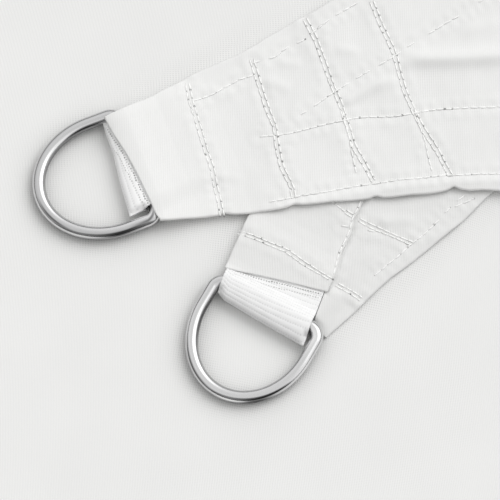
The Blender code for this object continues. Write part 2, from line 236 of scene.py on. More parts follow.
# The map's X runs along the webbing and its Y across it, so the valleys fall between the ribs.
def webbingMaterial(name, colour, valleyShadeStrength):
    material, tree, shader = newMaterial(name, colour, webbingFinish["roughness"])
    place = mappedPlace(tree, "clothUv")
    valleys = maths(tree, "POWER", threadBands(tree, place, "X", webbing["ribPitch"]), 3.0)
    pits = maths(tree, "SUBTRACT", 1.0, threadBands(tree, place, "Y", webbing["pitPitch"]))
    pits = product(tree, maths(tree, "POWER", pits, 2.0), 1 - webbingFinish["betweenPits"])
    pits = summed(tree, pits, webbingFinish["betweenPits"])
    patchy = summed(tree, noise(tree, place, 5.0), 0.35)
    mouth = product(tree, onMesh(tree, "mouth"), webbingFinish["mouthShade"])
    strength = summed(tree, mouth, webbingFinish["evenShade"])
    # The valleys and pits are painted darker as shade, more so at the mouth where the upper cloth's shadow
    # falls.
    dark = product(tree, valleys, pits, patchy, strength, valleyShadeStrength)
    low, high = webbingFinish["valleyRun"]
    marked = colourRamp(tree, dark, [(low, colour), (high, webbingFinish["valleyShadeColour"])])
    yarns = threadBands(tree, place, "Y", webbingFinish["yarnPitch"], 0.3)
    relief = bumps(tree, summed(tree, yarns, noise(tree, place, 0.8)), webbingFinish["relief"])
    setInputs(tree, shader, {"Base Color": marked, "Normal": relief, "Sheen Weight": webbingFinish["sheen"]})
    return material


steelFinish = {
    "colour": (0.62, 0.62, 0.63),
    # levels of the painted reflections, from the tone on the mesh
    "paintedReflectionLevels": [(0.0, 0.03), (0.5, 0.72), (1.0, 1.0)],
    "roughness": (0.10, 0.20),
    "scratchLength": 3.0,
    "scratchDepth": 0.01,
}


def steelMaterial():    # the painted reflections, carried as a tone on the mesh, go from near black to near white
    smoothest, roughest = steelFinish["roughness"]
    material, tree, shader = newMaterial("polished steel", steelFinish["colour"], smoothest)
    scratches = noise(tree, mappedPlace(tree), steelFinish["scratchLength"], 6.0, 0.7)
    rough = addNode(tree, "MapRange", {"Value": scratches, "To Min": smoothest, "To Max": roughest})
    stops = [(place, (level, level, min(1, level * 1.01))) for place, level in steelFinish["paintedReflectionLevels"]]
    setInputs(tree, shader, {"Base Color": colourRamp(tree, onMesh(tree, "tone"), stops), "Metallic": 1.0,
                             "Roughness": rough.outputs["Result"],
                             "Normal": bumps(tree, scratches, steelFinish["scratchDepth"], 0.5)})
    return material


def threadMaterial():
    material, tree, shader = newMaterial("white sewing thread", (0.96, 0.96, 0.95), 0.5)
    twist = noise(tree, mappedPlace(tree), 0.5)
    colour = colourRamp(tree, twist, [(0.3, (0.90, 0.90, 0.89)), (0.6, (0.97, 0.97, 0.96))])
    setInputs(tree, shader, {"Base Color": colour, "Normal": bumps(tree, twist, 0.03), "Sheen Weight": 0.1})
    return material


# a material painted dark to light by noise, for the painted shade in holes, pits and grooves
def paintedShadeMaterial(name, dark, light):
    material, tree, shader = newMaterial(name, light, 0.9)
    depth = noise(tree, mappedPlace(tree), 1.5)
    setInputs(tree, shader, {"Base Color": colourRamp(tree, depth, [(0.3, dark), (0.7, light)])})
    return material


# How the sail is folded, as in the CAD model.
heap = {
    "cadThick": 1.0,
    "plySpacing": 1.5,
    "layerPitch": 4.0,
    "layerCount": 7,
    "flatMiddle": (-10, 15),
    "flatRun": (115, 215),    # from this far out, the heap lies unevenly
    "waveShare": 0.045,
    "waveLengths": (446, 521),
    "waveShifts": (0.6, -0.4),
    "ridgeShare": 0.05,
    "ridgeRun": (150, 245),
    "ridgeMiddle": 18,
    "sagShare": 0.09,
    "sagRun": (100, 220),
    "restGap": 0.3,
    "innerFoldRadius": 1.25,
    "outerCornerGap": 3.0,
    "topLayerWiden": 0.45,
}

foldLines = {    # place, slant across the cloth, bow, and the two ends of the cloth there
    1: {"x": 252, "slant": 3, "bow": 2, "low": -104, "high": 74},
    2: {"x": -214, "slant": -7, "bow": 3, "low": -211, "high": 213},
    3: {"x": 247, "slant": 6, "bow": -2, "low": -207, "high": 209},
    4: {"x": -209, "slant": 5, "bow": -2, "low": -213, "high": 206},
    5: {"x": 255, "slant": -5, "bow": 3, "low": -208, "high": 211},
    6: {"x": -217, "slant": 3, "bow": 2, "low": -206, "high": 208},
    7: {"x": 250, "slant": -4, "bow": -3, "low": -210, "high": 212},
}
lowerCornerAtFold = {"low": -42, "high": 132}
edgeSwings = {2: (4, -3), 3: (-5, 4), 4: (3, 5), 5: (-4, -4), 6: (5, 3), 7: (-2, 0)}


def layerDirection(layer):
    return 1 if layer % 2 else -1


def layerHeight(layer, side):
    middle = (heap["plySpacing"] + heap["cadThick"]) / 2
    middle += heap["layerPitch"] * (heap["layerCount"] - layer)
    return middle + side * layerDirection(layer) * heap["plySpacing"] / 2


heapTop = layerHeight(2, -1) + heap["cadThick"] / 2


def settled(x, y, z):    # every height is scaled a little, up or down, as the heap lies unevenly
    outward = np.hypot(x - heap["flatMiddle"][0], y - heap["flatMiddle"][1])
    waves = np.sin(math.tau * x / heap["waveLengths"][0] + heap["waveShifts"][0])
    waves = waves * np.cos(math.tau * y / heap["waveLengths"][1] + heap["waveShifts"][1])
    ridge = heap["ridgeShare"] * smoothStep(*heap["ridgeRun"], np.abs(x - heap["ridgeMiddle"]))
    sag = heap["sagShare"] * smoothStep(*heap["sagRun"], np.abs(y))
    scale = 1 + heap["waveShare"] * smoothStep(*heap["flatRun"], outward) * waves + ridge - sag
    floorSheet = heap["cadThick"] / 2
    return np.stack([x, y, floorSheet + (z - floorSheet) * scale], axis=-1)


def foldPlan(number, side, across):
    line = foldLines[number]
    ends = lowerCornerAtFold if number == 1 and side < 0 else line
    x = line["x"] + line["slant"] * (across - 0.5) + line["bow"] * np.sin(math.pi * across)
    return x, mix(ends["low"], ends["high"], across)


def layerPlace(layer, side, along, across, lift=0.0):
    startX, startY = foldPlan(layer - 1, side, across)
    endX, endY = foldPlan(layer, side, across)
    widening = smoothStep(0, heap["topLayerWiden"], along) if layer == 2 else along
    low, high = edgeSwings[layer]
    y = mix(startY, endY, widening) + math.sin(math.pi * along) * mix(-low, high, across)
    return mix(startX, endX, along), y, layerHeight(layer, side) + lift + 0 * across


def foldHeights(number, side):
    if number == heap["layerCount"]:    # the closed end of the lowest layer
        return layerHeight(number, 1), layerHeight(number, -1)
    lower = layerHeight(number + 1, side)
    if number > 1:
        return layerHeight(number, side), lower
    upper = layerHeight(2, -1) + 2 * heap["innerFoldRadius"]
    return (upper + heap["outerCornerGap"] if side > 0 else upper), lower


def foldPlace(number, side, turn, across, outward=0.0):
    upper, lower = foldHeights(number, side)
    radius = (upper - lower) / 2 + outward
    x, y = foldPlan(number, side, across)
    x = x + layerDirection(number) * radius * math.sin(math.pi * turn)
    return x, y, (upper + lower) / 2 + radius * math.cos(math.pi * turn) + 0 * across


# Makes a sheet from a grid. places has a row for each line across the sheet, and mapPlaces its
# places when it is flat. Each of the levels is a number for every point, which the materials read.
def gridMesh(name, places, mapPlaces, **levels):
    rows, columns = places.shape[:2]
    grid = bmesh.new()
    bmesh.ops.create_grid(grid, x_segments=columns - 1, y_segments=rows - 1, size=0.5)
    mesh = bpy.data.meshes.new(name)
    grid.to_mesh(mesh)
    grid.free()
    flat = np.empty(len(mesh.vertices) * 3)
    mesh.vertices.foreach_get("co", flat)
    flat = flat.reshape(-1, 3)
    share = (flat - flat.min(0)) / np.maximum(flat.max(0) - flat.min(0), 1e-9)
    column = np.rint(share[:, 0] * (columns - 1)).astype(int)
    row = np.rint(share[:, 1] * (rows - 1)).astype(int)
    mesh.vertices.foreach_set("co", (places[row, column] * metres).ravel())
    corner = np.empty(len(mesh.loops), int)
    mesh.loops.foreach_get("vertex_index", corner)
    uvMap = mesh.uv_layers.new(name="clothUv")
    uvMap.data.foreach_set("uv", (mapPlaces[row[corner], column[corner]] * metres).ravel())
    for title, values in levels.items():
        mesh.attributes.new(title, "FLOAT", "POINT").data.foreach_set("value", values[row, column])
    mesh.update()
    return mesh


def meshFromShape(name, shape):
    mesh = bpy.data.meshes.new(name)
    shape.to_mesh(mesh)
    shape.free()
    return mesh


def weldMeshes(name, meshes, distance):
    shape = bmesh.new()
    for mesh in meshes:
        shape.from_mesh(mesh)
        bpy.data.meshes.remove(mesh)
    bmesh.ops.remove_doubles(shape, verts=shape.verts, dist=distance * metres)
    bmesh.ops.recalc_face_normals(shape, faces=shape.faces)
    return meshFromShape(name, shape)


def addPiece(name, mesh, material):
    piece = bpy.data.objects.new(name, mesh)
    bpy.context.scene.collection.objects.link(piece)
    mesh.materials.append(material)
    mesh.shade_smooth()
    return piece


def thicken(piece, thickness, offset=-1.0):
    solidify = piece.modifiers.new("cloth thickness", "SOLIDIFY")
    solidify.thickness = thickness * metres
    solidify.offset = offset


# Makes a piece of cloth from its lines, face up. The flat places of the last lines may be missing.
def sheetPiece(name, lines, flatPlaces, material, thick):
    places = np.stack([settled(*line) for line in lines])
    reach = lengthsAlong(places)
    for number in range(len(flatPlaces), len(lines)):
        further = flatPlaces[number - 1].copy()
        further[:, 0] += reach[number] - reach[number - 1]
        flatPlaces.append(further)
    mesh = gridMesh(name, places, np.stack(flatPlaces))
    if sum(face.normal.z * face.area for face in mesh.polygons) < 0:
        mesh.flip_normals()
    piece = addPiece(name, mesh, material)
    thicken(piece, thick)
    return piece


# The corners of the sail. On each, u runs in from the ring's bar along the cloth, and w to its left.
corners = {
    "a": {"x": -19.7, "y": 67.3, "clothHeading": -18.4, "ringHeading": -14.2, "side": 1},
    "b": {"x": -8.2, "y": -28.7, "clothHeading": 18.8, "ringHeading": 25.4, "side": -1},
    "c": {"x": 168.0, "y": 336.0, "clothHeading": -90.0, "ringHeading": -87.0, "side": -1},
}
wedge = {"tipBeyondBar": 153, "halfAngle": math.radians(11.36), "straight": 175}


def halfWidth(u):
    return (wedge["tipBeyondBar"] + u) * math.tan(wedge["halfAngle"])


def groundOf(name):
    return 0.0 if name == "c" else heapTop


def toPlan(name, u, w):
    corner = corners[name]
    x, y = turned(u, w, corner["clothHeading"])
    return corner["x"] + x, corner["y"] + y


def toRing(name, u, w):    # the same place, measured along and across the ring
    return turned(u, w, corners[name]["clothHeading"] - corners[name]["ringHeading"])


def foldStretch(name):    # from the end of the straight wedge to the first fold
    x, _ = toPlan(name, wedge["straight"], 0)
    return (foldLines[1]["x"] - x) / math.cos(math.radians(corners[name]["clothHeading"]))


# A place on an upper corner's cloth, straight at first and then leading on to the first fold.
def cornerPlan(name, u, w):
    straightX, straightY = toPlan(name, u, w)
    share = np.clip((u - wedge["straight"]) / foldStretch(name), 0, 1)
    sideways = w / halfWidth(u)
    startX, startY = toPlan(name, wedge["straight"], sideways * halfWidth(wedge["straight"]))
    foldX, foldY = foldPlan(1, corners[name]["side"], (sideways + 1) / 2)
    beyond = u > wedge["straight"]
    x = np.where(beyond, mix(startX, foldX, share), straightX)
    y = np.where(beyond, mix(startY, foldY, share), straightY)
    return x, y, share


# How each webbing loop lies in its ring's frame: how far it reaches past the bar, by the place
# across it, how far it lies to the left, how much more so towards the cloth, and how flat it is
# pinched past the bar (1 is an ellipse, and more is flatter). Its upper leg is fine to fineEnd.
webbingLie = {
    "a": {"reach": [(-25, 13.5), (-15, 12.5), (-6, 11.7), (8, 9.7), (18, 9.4), (25, 8.8)],
          "aside": 2.3, "lean": 0.13, "pinch": 0.92, "fineEnd": 12.0},
    "b": {"reach": [(-25, 10.8), (0, 10.2), (20, 9.2), (25, 7.2)],
          "aside": 1.7, "lean": 0.17, "pinch": 0.95, "fineEnd": 24.0},
    "c": {"reach": [(-25, 7.4), (25, 7.2)],
          "aside": 0.0, "lean": 0.04, "pinch": 1.0, "fineEnd": 12.0},
}
leanRun = (-14, 22)
loopHalfHeight = 4.1


def webbingAside(name, u):
    return webbingLie[name]["aside"] + webbingLie[name]["lean"] * np.clip(u, *leanRun)


def loopDrop(name, u, v):    # how far the loop's top has come down, past the bar
    lie = webbingLie[name]
    reach = fromTable(v - webbingAside(name, u), lie["reach"]) + 0.3
    share = np.clip(-u / reach, 0, 1) ** (2 / lie["pinch"])
    return loopHalfHeight * (1 - (1 - share) ** (lie["pinch"] / 2))


# Height of a cloth over the webbing and beside it, by distance from the ring's bar. The tables are
# for a cloth whose top lies at tableLevel beyond them.
plyLie = {
    "a": {"over": [(1, 10.25), (3, 10.1), (6, 9.4), (12, 7.7), (20, 6.0), (28, 5.2), (34, 4.4), (40, 3.5),
                   (46, 2.8), (54, 2.4)],
          "beside": [(-9, 8.8), (-2, 8.9), (2, 8.7), (6, 7.8), (12, 6.3), (20, 4.8), (30, 3.6), (44, 2.5)],
          "shoulder": (21.0, 31.0)},
    "b": {"over": [(2, 9.6), (5, 7.6), (6, 6.8), (7, 6.1), (8.5, 5.3), (12, 5.05), (28, 5.0), (32, 4.3),
                   (37, 3.3), (43, 2.6), (50, 2.4)],
          "beside": [(2, 4.9), (8, 4.3), (14, 3.7), (25, 3.0), (40, 2.4)],
          "shoulder": (24.2, 28.5)},
}
plyLie["c"] = plyLie["a"]
tableLevel = 2.4


def plyHeight(name, u, w, level):
    lie = plyLie[name]
    ringU, ringV = toRing(name, u, w)
    offMiddle = smoothStep(*lie["shoulder"], np.abs(ringV - webbingAside(name, ringU)))
    over = fromTable(ringU, lie["over"]) - loopDrop(name, ringU, ringV)
    mouth = mix(over, fromTable(ringU, lie["beside"]), offMiddle)
    return np.maximum(mouth + level - tableLevel, level)


# Distance from a line through places (u, w), and how far along it the nearest point is.
def nearLine(u, w, line):
    nearest = np.full(np.shape(u), 1e6)
    reach = np.zeros(np.shape(u))
    before = 0.0
    for (startU, startW), (endU, endW) in zip(line, line[1:]):
        length = math.hypot(endU - startU, endW - startW)
        share = ((u - startU) * (endU - startU) + (w - startW) * (endW - startW)) / length ** 2
        share = np.clip(share, 0, 1)
        gap = np.hypot(u - startU - share * (endU - startU), w - startW - share * (endW - startW))
        reach = np.where(gap < nearest, before + share * length, reach)
        nearest = np.minimum(gap, nearest)
        before += length
    return nearest, reach, before


stitchShape = {
    "pitch": 4.3,
    "threadGap": 2.0,
    "threadRadius": 0.34,
    "threadShare": 0.86,    # of the pitch that the thread shows
    "wander": (0.22, 21),    # of a row from its line, and over what length
    "grooveDepth": 0.42,
    "singleGroove": 0.45,    # of that, under a single row
    "grooveWidth": 1.25,
    "pillow": 0.20,
    "pillowAt": 3.4,
    "pillowWidth": 1.9,
    "pucker": 0.11,
    "puckerAt": 2.2,
    "puckerWidth": 2.75,
    # sizes of the dark beads painted as shadow in the needle holes and as shade along the grooves
    "holeRadius": 0.464,
    "holeLength": 0.3,
    "grooveShadeReach": 0.62,
    "shares": {1: (0.3, 0.45), 2: (0.62, 1.0)},    # stitches with a painted needle-hole shadow or a painted groove shade, by threads
}


def sewnRelief(u, w, rows):
    groove = np.zeros(np.shape(u))
    swell = np.zeros(np.shape(u))
    for number, row in enumerate(rows):
        distance, reach, _ = nearLine(u, w, row["line"])
        spread = stitchShape["grooveWidth"] + stitchShape["threadGap"] * (row["threads"] - 1) / 2
        uneven = 0.8 + 0.35 * np.sin(math.tau * reach / 17 + number)
        pull = 0.85 + 0.15 * np.cos(math.tau * reach / stitchShape["pitch"])
        depth = stitchShape["grooveDepth"] * (1.0 if row["threads"] > 1 else stitchShape["singleGroove"])
        groove = np.maximum(groove, depth * uneven * pull * bell(distance, spread))
        beside = bell(distance - stitchShape["pillowAt"] - spread / 2, stitchShape["pillowWidth"])
        swell = np.maximum(swell, stitchShape["pillow"] * uneven * beside)
        wrinkle = np.sin(math.tau * reach / 6.1 + 1.7 * np.sin(reach / 9 + number))
        puckered = bell(distance - stitchShape["puckerAt"], stitchShape["puckerWidth"])
        swell = swell + stitchShape["pucker"] * wrinkle * puckered
    return swell - groove


def creaseRelief(u, w, creases):
    relief = np.zeros(np.shape(u))
    for height, width, line in creases:
        distance, reach, length = nearLine(u, w, line)
        taper = smoothStep(0, 0.3 * length, reach) * smoothStep(length, 0.7 * length, reach)
        relief = relief + height * taper * bell(distance, width)
    return relief


# Corner a: the sail's front face is up, over the webbing. The edges' tables are in millimetres
# outside the straight wedge, and end is how far its slanting end lies from the bar.
clothA = {
    "thick": 0.65,
    "level": 2.6,    # top above the heap, where there is no webbing in it
    "climb": 2.3,    # to lie over the lower corner
    "climbRun": (-24, 2),
    "curlRadius": 1.05,
    "curl": ((4, 15), 0.42, 1.0),    # how far round the edges turn: from where to where, first, last
    "curlReturn": ((6, 16), 0.4, 3.4),
    "unrollRun": (205, 232),
    "endReach": 30.5,
    "end": [(-31, 1.9), (-28, 0.7), (-20.5, -0.3), (-14.3, -1.2), (-3.7, -2.7), (7.1, -4.6), (19.2, -7.6),
            (25.5, -8.8), (30, -9.4)],
    "rowStep": 0.75,
    "fineEnd": 208,
    "cellsAcross": 118,
    "leftEdge": [(-6, -1.5), (0, -2.2), (5, -2.3), (11, -2.1), (17, -1.8), (24, -1.3), (38, -0.9),
                 (53, -1.1), (61, -1.7), (74, -1.5), (88, -0.2), (101, 0.7), (110, 0.6), (150, 0)],
    "rightEdge": [(1, 1.0), (11, 0.4), (21, -0.2), (43, 0.0), (65, -1.6), (96, -2.5), (118, -2.0),
                  (138, -2.8), (145, -3.7), (152, -1.9), (166, -0.6), (185, 0)],
    "edgeWaves": [(0.25, 6.3, 1), (0.15, 2.9, 0)],
    "notches": [(33.5, 0.7), (67.5, 0.8), (107, 1.0), (145, 1.0)],    # where seams pull the edge in
    "notchWidth": 2.2,
    "panelRun": (14, 40),
    "panels": (0.28, 38, 3),
    "wrinkles": (0.06, 9, 4),
    "hemTube": {"height": 0.5, "outside": 3.6, "width": 2.6, "run": (52, 60)},
}
clothA["rows"] = [
    {"threads": 2, "line": [(35, 34), (34, 24), (34, 0), (34, -12), (33, -24), (32, -37)]},
    {"threads": 2, "line": [(69, 37), (69, 10), (70, 0), (68, -9), (67, -22), (69, -33), (68, -39)]},
    {"threads": 2, "line": [(100, 50), (102, 38), (103, 13), (104, -1), (104, -21), (108, -41)]},
    {"threads": 1, "line": [(104, -1), (103, -15), (101, -36)]},
    {"threads": 2, "line": [(134, 48), (135, 35), (137, 20), (136, 0), (138, -17), (143, -38), (145, -49)]},
    {"threads": 1, "line": [(138, -11), (138, -28), (137, -44)]},
    {"threads": 1, "plain": 0.5, "line": [(35, 24), (46, 25), (60, 29), (67, 29)]},
    {"threads": 1, "plain": 0.35, "line": [(69, 35), (81, 35), (87, 38), (96, 39), (113, 46), (128, 50),
                                           (150, 57)]},
    {"threads": 1, "plain": 0.3, "line": [(84, 2), (96, 6), (110, 11), (134, 17), (151, 23), (177, 30),
                                          (205, 37)]},
    {"threads": 1, "line": [(61, -3), (76, -6), (91, -6), (113, -8), (127, -12), (151, -15), (178, -22),
                            (205, -27)]},
    {"threads": 1, "line": [(56, -37), (77, -39), (96, -41), (119, -44), (145, -49), (168, -55),
                            (205, -62)]},
]
clothA["creases"] = [    # height, width and line
    (2.3, 4.2, [(131, 14), (146, 13.6), (159, 9.7), (185, 2.7), (204, -1.3)]),
    (1.25, 3.3, [(101, 1), (112, 3.4), (120, 5.4), (127, 6.4), (135, 5.4)]),
    (0.6, 4.0, [(168, 21), (178, 20), (185, 19), (196, 20)]),
    (0.4, 3.0, [(39, 30), (58, 20)]),
    (0.5, 3.0, [(71, 26), (84, 15)]),
    (0.4, 3.0, [(34, -15), (49, -23)]),
    (0.4, 2.5, [(80, 32), (93, 27)]),
    (0.4, 2.5, [(108, 31), (122, 24)]),
]


def clothEdge(cloth, u, side):
    pull = fromTable(u, cloth["leftEdge" if side > 0 else "rightEdge"])
    if side < 0:
        for place, depth in cloth["notches"]:
            pull = pull - depth * bell(u - place, cloth["notchWidth"])
    for height, length, shift in cloth["edgeWaves"]:
        pull = pull + height * np.sin(u / length + shift * side)
    return side * (halfWidth(u) + pull)


def climbOfA(x, y):    # by how far inside the lower corner's left edge a place lies
    startX, startY = toPlan("b", 0, halfWidth(0))
    endX, endY = toPlan("b", wedge["straight"], halfWidth(wedge["straight"]))
    length = math.hypot(endX - startX, endY - startY)
    inside = ((x - startX) * (endY - startY) - (y - startY) * (endX - startX)) / length
    return clothA["climb"] * smoothStep(*clothA["climbRun"], inside)


# Uneven ground of a cloth, as its dictionary says: a height, a length and a seed.
def ripples(u, w, amounts):
    height, length, seed = amounts
    return height * unevenness(u, w, length, seed)


# Where an upper corner's cloth lies, at first as sewn and over its webbing, and then at the fold.
def clothTop(name, cloth, u, w, level, added=0.0):
    x, y, share = cornerPlan(name, u, w)
    height = plyHeight(name, u, w, level) + smoothStep(*cloth["panelRun"], u) * ripples(u, w, cloth["panels"])
    height = height + ripples(u, w, cloth["wrinkles"]) + added
    height = height + sewnRelief(u, w, cloth["rows"]) + creaseRelief(u, w, cloth["creases"])
    if name == "a":
        height = height + climbOfA(x, y)
    foldTop = foldHeights(1, corners[name]["side"])[0] + cloth["thick"] / 2 - heapTop + level - cloth["level"]
    return x, y, heapTop + mix(height, foldTop, smoothStep(0, 1, share))


def topOfA(u, w):    # its lower hem is a little tube, outside the last row of stitches
    tube = clothA["hemTube"]
    outside = w - fromTable(u, clothA["rows"][-1]["line"]) + tube["outside"]
    hem = tube["height"] * bell(outside, tube["width"]) * smoothStep(*tube["run"], u)
    return clothTop("a", clothA, u, w, clothA["level"], hem)


# One line across a cloth with turned edges: the flat part, then round the edge and back below.
def turnedSection(flatCells, turnLeft, turnRight, curlCells=7, returnCells=2):
    flat = [(share, 0.0, 0.0, 0) for share in np.linspace(-1, 1, flatCells + 1)]
    curl = [(cell / curlCells, 0.0) for cell in range(1, curlCells + 1)]
    curl += [(1.0, cell / returnCells) for cell in range(1, returnCells + 1)]
    left = [(1.0, turn, run, 1) for turn, run in curl] if turnLeft else []
    right = [(-1.0, turn, run, -1) for turn, run in reversed(curl)] if turnRight else []
    return np.array(right + flat + left)


# Places across a cloth whose edges turn under. curl is how far round they turn, from 0 to 1.
def sectionPlaces(section, leftEdge, rightEdge, radius, curl, back):
    flatShare, turn, run, sign = section.T
    insetLeft = radius if sign.max() > 0 else 0.0
    insetRight = radius if sign.min() < 0 else 0.0
    w = mix(rightEdge + insetRight, leftEdge - insetLeft, (flatShare + 1) / 2)
    angle = math.pi * turn * curl
    outward = radius * np.sin(angle) + run * back * np.cos(angle)
    drop = radius * (1 - np.cos(angle)) + run * back * np.sin(angle)
    return w, sign * outward, -drop


# All the lines across a corner's cloth. They slant at first, as ownRow says, and the turned edges
# unroll as they near the first fold.
def cornerLines(name, cloth, section, ownRow, edges, top):
    fineEnd = cloth["fineEnd"]
    end = wedge["straight"] + foldStretch(name)
    fine = np.arange(0, fineEnd, cloth["rowStep"])
    rows = np.concatenate([fine, np.linspace(fineEnd, end, 1 + round((end - fineEnd) / 4.5))])
    unrolled = np.linspace(-1, 1, len(section))
    heading = math.radians(corners[name]["clothHeading"])
    lines, flatPlaces = [], []
    for u in rows:
        ownU = ownRow(u, section[:, 0], max(1 - u / fineEnd, 0))
        left, right = edges(ownU)
        curl, back = [mix(first, last, float(smoothStep(*run, u)))
                      for run, first, last in (cloth["curl"], cloth["curlReturn"])]
        w, outward, drop = sectionPlaces(section, left, right, cloth["curlRadius"], curl, back)
        flatW = mix(right, left, (unrolled + 1) / 2)
        unroll = float(smoothStep(*cloth["unrollRun"], u))
        x, y, z = top(ownU, mix(w, flatW, unroll))
        outward, drop = outward * (1 - unroll), drop * (1 - unroll)
        lines.append((x - outward * math.sin(heading), y + outward * math.cos(heading), z + drop))
        flatPlaces.append(np.stack([ownU, flatW], axis=-1))
    return lines, flatPlaces


# From the last straight line on, round the first fold and a little way into the layer below it.
def roundFirstFold(side, sideways, thick):
    across = (sideways + 1) / 2
    lines = [foldPlace(1, side, turn, across, thick / 2) for turn in np.linspace(0, 1, 9)[1:]]
    return lines + [layerPlace(2, side, along, across, side * thick / 2)
                    for along in np.linspace(0, stack["intoLayerTwo"], 5)[1:]]


def buildClothA(material):
    section = turnedSection(clothA["cellsAcross"], True, True)

    def ownRow(u, share, skew):
        return u + fromTable(clothA["endReach"] * share, clothA["end"]) * skew

    def edges(u):
        return clothEdge(clothA, u, 1), clothEdge(clothA, u, -1)

    lines, flatPlaces = cornerLines("a", clothA, section, ownRow, edges, topOfA)
    lines += roundFirstFold(1, np.linspace(-1, 1, len(section)), clothA["thick"])
    return sheetPiece("corner_cloth_a", lines, flatPlaces, material, clothA["thick"])


# Corner b: the back face is up, with the hem of its left edge over the rest.
clothB = {
    "thick": 0.6,
    "level": 1.75,
    "hemLevel": 2.35,
    "curlRadius": 0.85,
    "curl": ((0, 1), 1.0, 1.0),
    "curlReturn": ((0, 1), 3.0, 3.0),
    "unrollRun": (150, 175),
    "start": 3.0,    # the cloth's end, beside the webbing
    "rowStep": 0.8,
    "fineEnd": 130,
    "cellsAcross": 84,
    "webbingSide": [(0, -23.6), (5.6, -22.2), (20.9, -17.7), (23, -15), (26, -7), (32, 8), (44, 34), (60, 41),
                    (290, 90)],
    "insideEdge": 1.6,    # the rest stays this far inside the hem's outer edge
    "rightEdge": [(1, 0.5), (28, -0.4), (47, -1.1), (71, 0.8), (91, 1.1), (106, 0.4), (150, 0)],
    "leftEdge": [(2, -2.4), (12, -1.4), (40, -1.0), (90, 0)],
    "edgeWaves": [(0.2, 5.7, 2)],
    "notches": [],
    "panelRun": (28, 48),
    "panels": (0.2, 34, 11),
    "wrinkles": (0.05, 8, 12),
    "lean": {"height": 2.0, "sideRun": (-30, -21), "run": (4, 9)},    # on the webbing's side
    "lowRun": (22.5, 27),
}
hemB = {
    "endLeft": 2.0,    # the hem's own end runs slanting over the webbing
    "endRight": 21.8,
    "cellsAcross": 70,
    "innerEdge": [(20, -19.3), (31, -17), (43, -12), (54, -10), (60, -7), (66, -6), (120, 7), (290, 52)],
    "besideEdge": [(21, -19.2), (31, -17.4), (43, -12.4), (54, -10.4), (60, -7.4), (66, -6.4), (120, 6.6)],
    "besideDepth": 0.7,
    "besideWidth": 0.8,
}
clothB["rows"] = [
    {"threads": 2, "gap": 1.7, "line": [(21, 35), (24, 24), (27, 10), (27, -1), (28, -17), (29, -28),
                                        (29, -34)]},
    {"threads": 2, "gap": 1.7, "line": [(61, -1), (62, -12), (64, -23), (67, -37)]},
    {"threads": 1, "plain": 0.6, "line": [(31, -15.8), (43, -10.8), (54, -8.8), (60, -5.8), (66, -4.8),
                                          (120, 8.2)]},
    {"threads": 1, "line": [(54, -4), (59, -13), (63, -22)]},
    {"threads": 1, "line": [(67, -37), (74, -39), (83, -40), (97, -42), (120, -47)]},
    {"threads": 1, "line": [(95, -43), (104, -48)]},
    {"threads": 1, "line": [(43, -32), (57, -35), (67, -37)]},
    {"threads": 1, "line": [(61, 39), (62, 20), (61, -1)]},
]
clothB["creases"] = [
    (0.7, 3.2, [(66, -14), (72, -24), (79, -33)]),
    (0.6, 3.0, [(68, -40), (80, -46), (92, -52)]),
    (0.5, 4.0, [(72, -22), (90, -28), (106, -32)]),
    (0.4, 3.5, [(31, -24), (44, -22), (56, -26)]),
]


# Beside the webbing, the lower cloth lies low and only leans on it.
def topOfLowerB(u, w):
    x, y, z = clothTop("b", clothB, u, w, clothB["level"])
    low = heapTop + clothB["level"] + ripples(u, w, clothB["wrinkles"])
    lean = clothB["lean"]
    low = low + lean["height"] * smoothStep(*lean["sideRun"], w) * smoothStep(*lean["run"], u)
    gap, _, _ = nearLine(u, w, hemB["besideEdge"])
    z = mix(low, z, smoothStep(*clothB["lowRun"], u))
    return x, y, z - hemB["besideDepth"] * bell(gap, hemB["besideWidth"])


def topOfHemB(u, w):
    return clothTop("b", clothB, u, w, clothB["hemLevel"])


def buildLowerB(material):
    section = turnedSection(clothB["cellsAcross"], False, True)

    def ownRow(u, share, skew):
        return u + clothB["start"] * skew + 0 * share

    def edges(u):
        left = np.minimum(fromTable(u, clothB["webbingSide"]), halfWidth(u) - clothB["insideEdge"])
        return left, clothEdge(clothB, u, -1)

    lines, flatPlaces = cornerLines("b", clothB, section, ownRow, edges, topOfLowerB)
    lastU, lastW = flatPlaces[-1].T
    lines += roundFirstFold(-1, lastW / halfWidth(lastU), clothB["thick"])
    return sheetPiece("corner_cloth_b", lines, flatPlaces, material, clothB["thick"])


def buildHemB(material):
    section = turnedSection(hemB["cellsAcross"], True, False)

    def ownRow(u, share, skew):
        return u + mix(hemB["endRight"], hemB["endLeft"], (share + 1) / 2) * skew

    def edges(u):
        return clothEdge(clothB, u, 1), fromTable(u, hemB["innerEdge"])

    lines, flatPlaces = cornerLines("b", clothB, section, ownRow, edges, topOfHemB)
    return sheetPiece("hem_cloth_b", lines, flatPlaces, material, clothB["thick"])


# A plain ply below the webbing's legs, which shows at the mouth of each corner.
underPly = {"start": 9.5, "end": 52, "thick": 0.6, "inset": 2.1, "lift": 0.4, "cells": (40, 30),
            "waves": (0.06, 14, 21)}


def buildUnderPly(name, material):
    lengthCells, crossCells = underPly["cells"]
    sideways = np.linspace(-1, 1, crossCells + 1)
    lines, flatPlaces = [], []
    for u in np.linspace(underPly["start"], underPly["end"], lengthCells + 1):
        w = sideways * (halfWidth(u) - underPly["inset"])
        x, y = toPlan(name, u, w)
        height = groundOf(name) + underPly["lift"] + underPly["thick"]
        height = height + ripples(u + 0 * w, w, underPly["waves"]) + (climbOfA(x, y) if name == "a" else 0)
        lines.append((x, y, height))
        flatPlaces.append(np.stack([u + 0 * w, w], axis=-1))
    return sheetPiece("under_cloth_" + name, lines, flatPlaces, material, underPly["thick"])


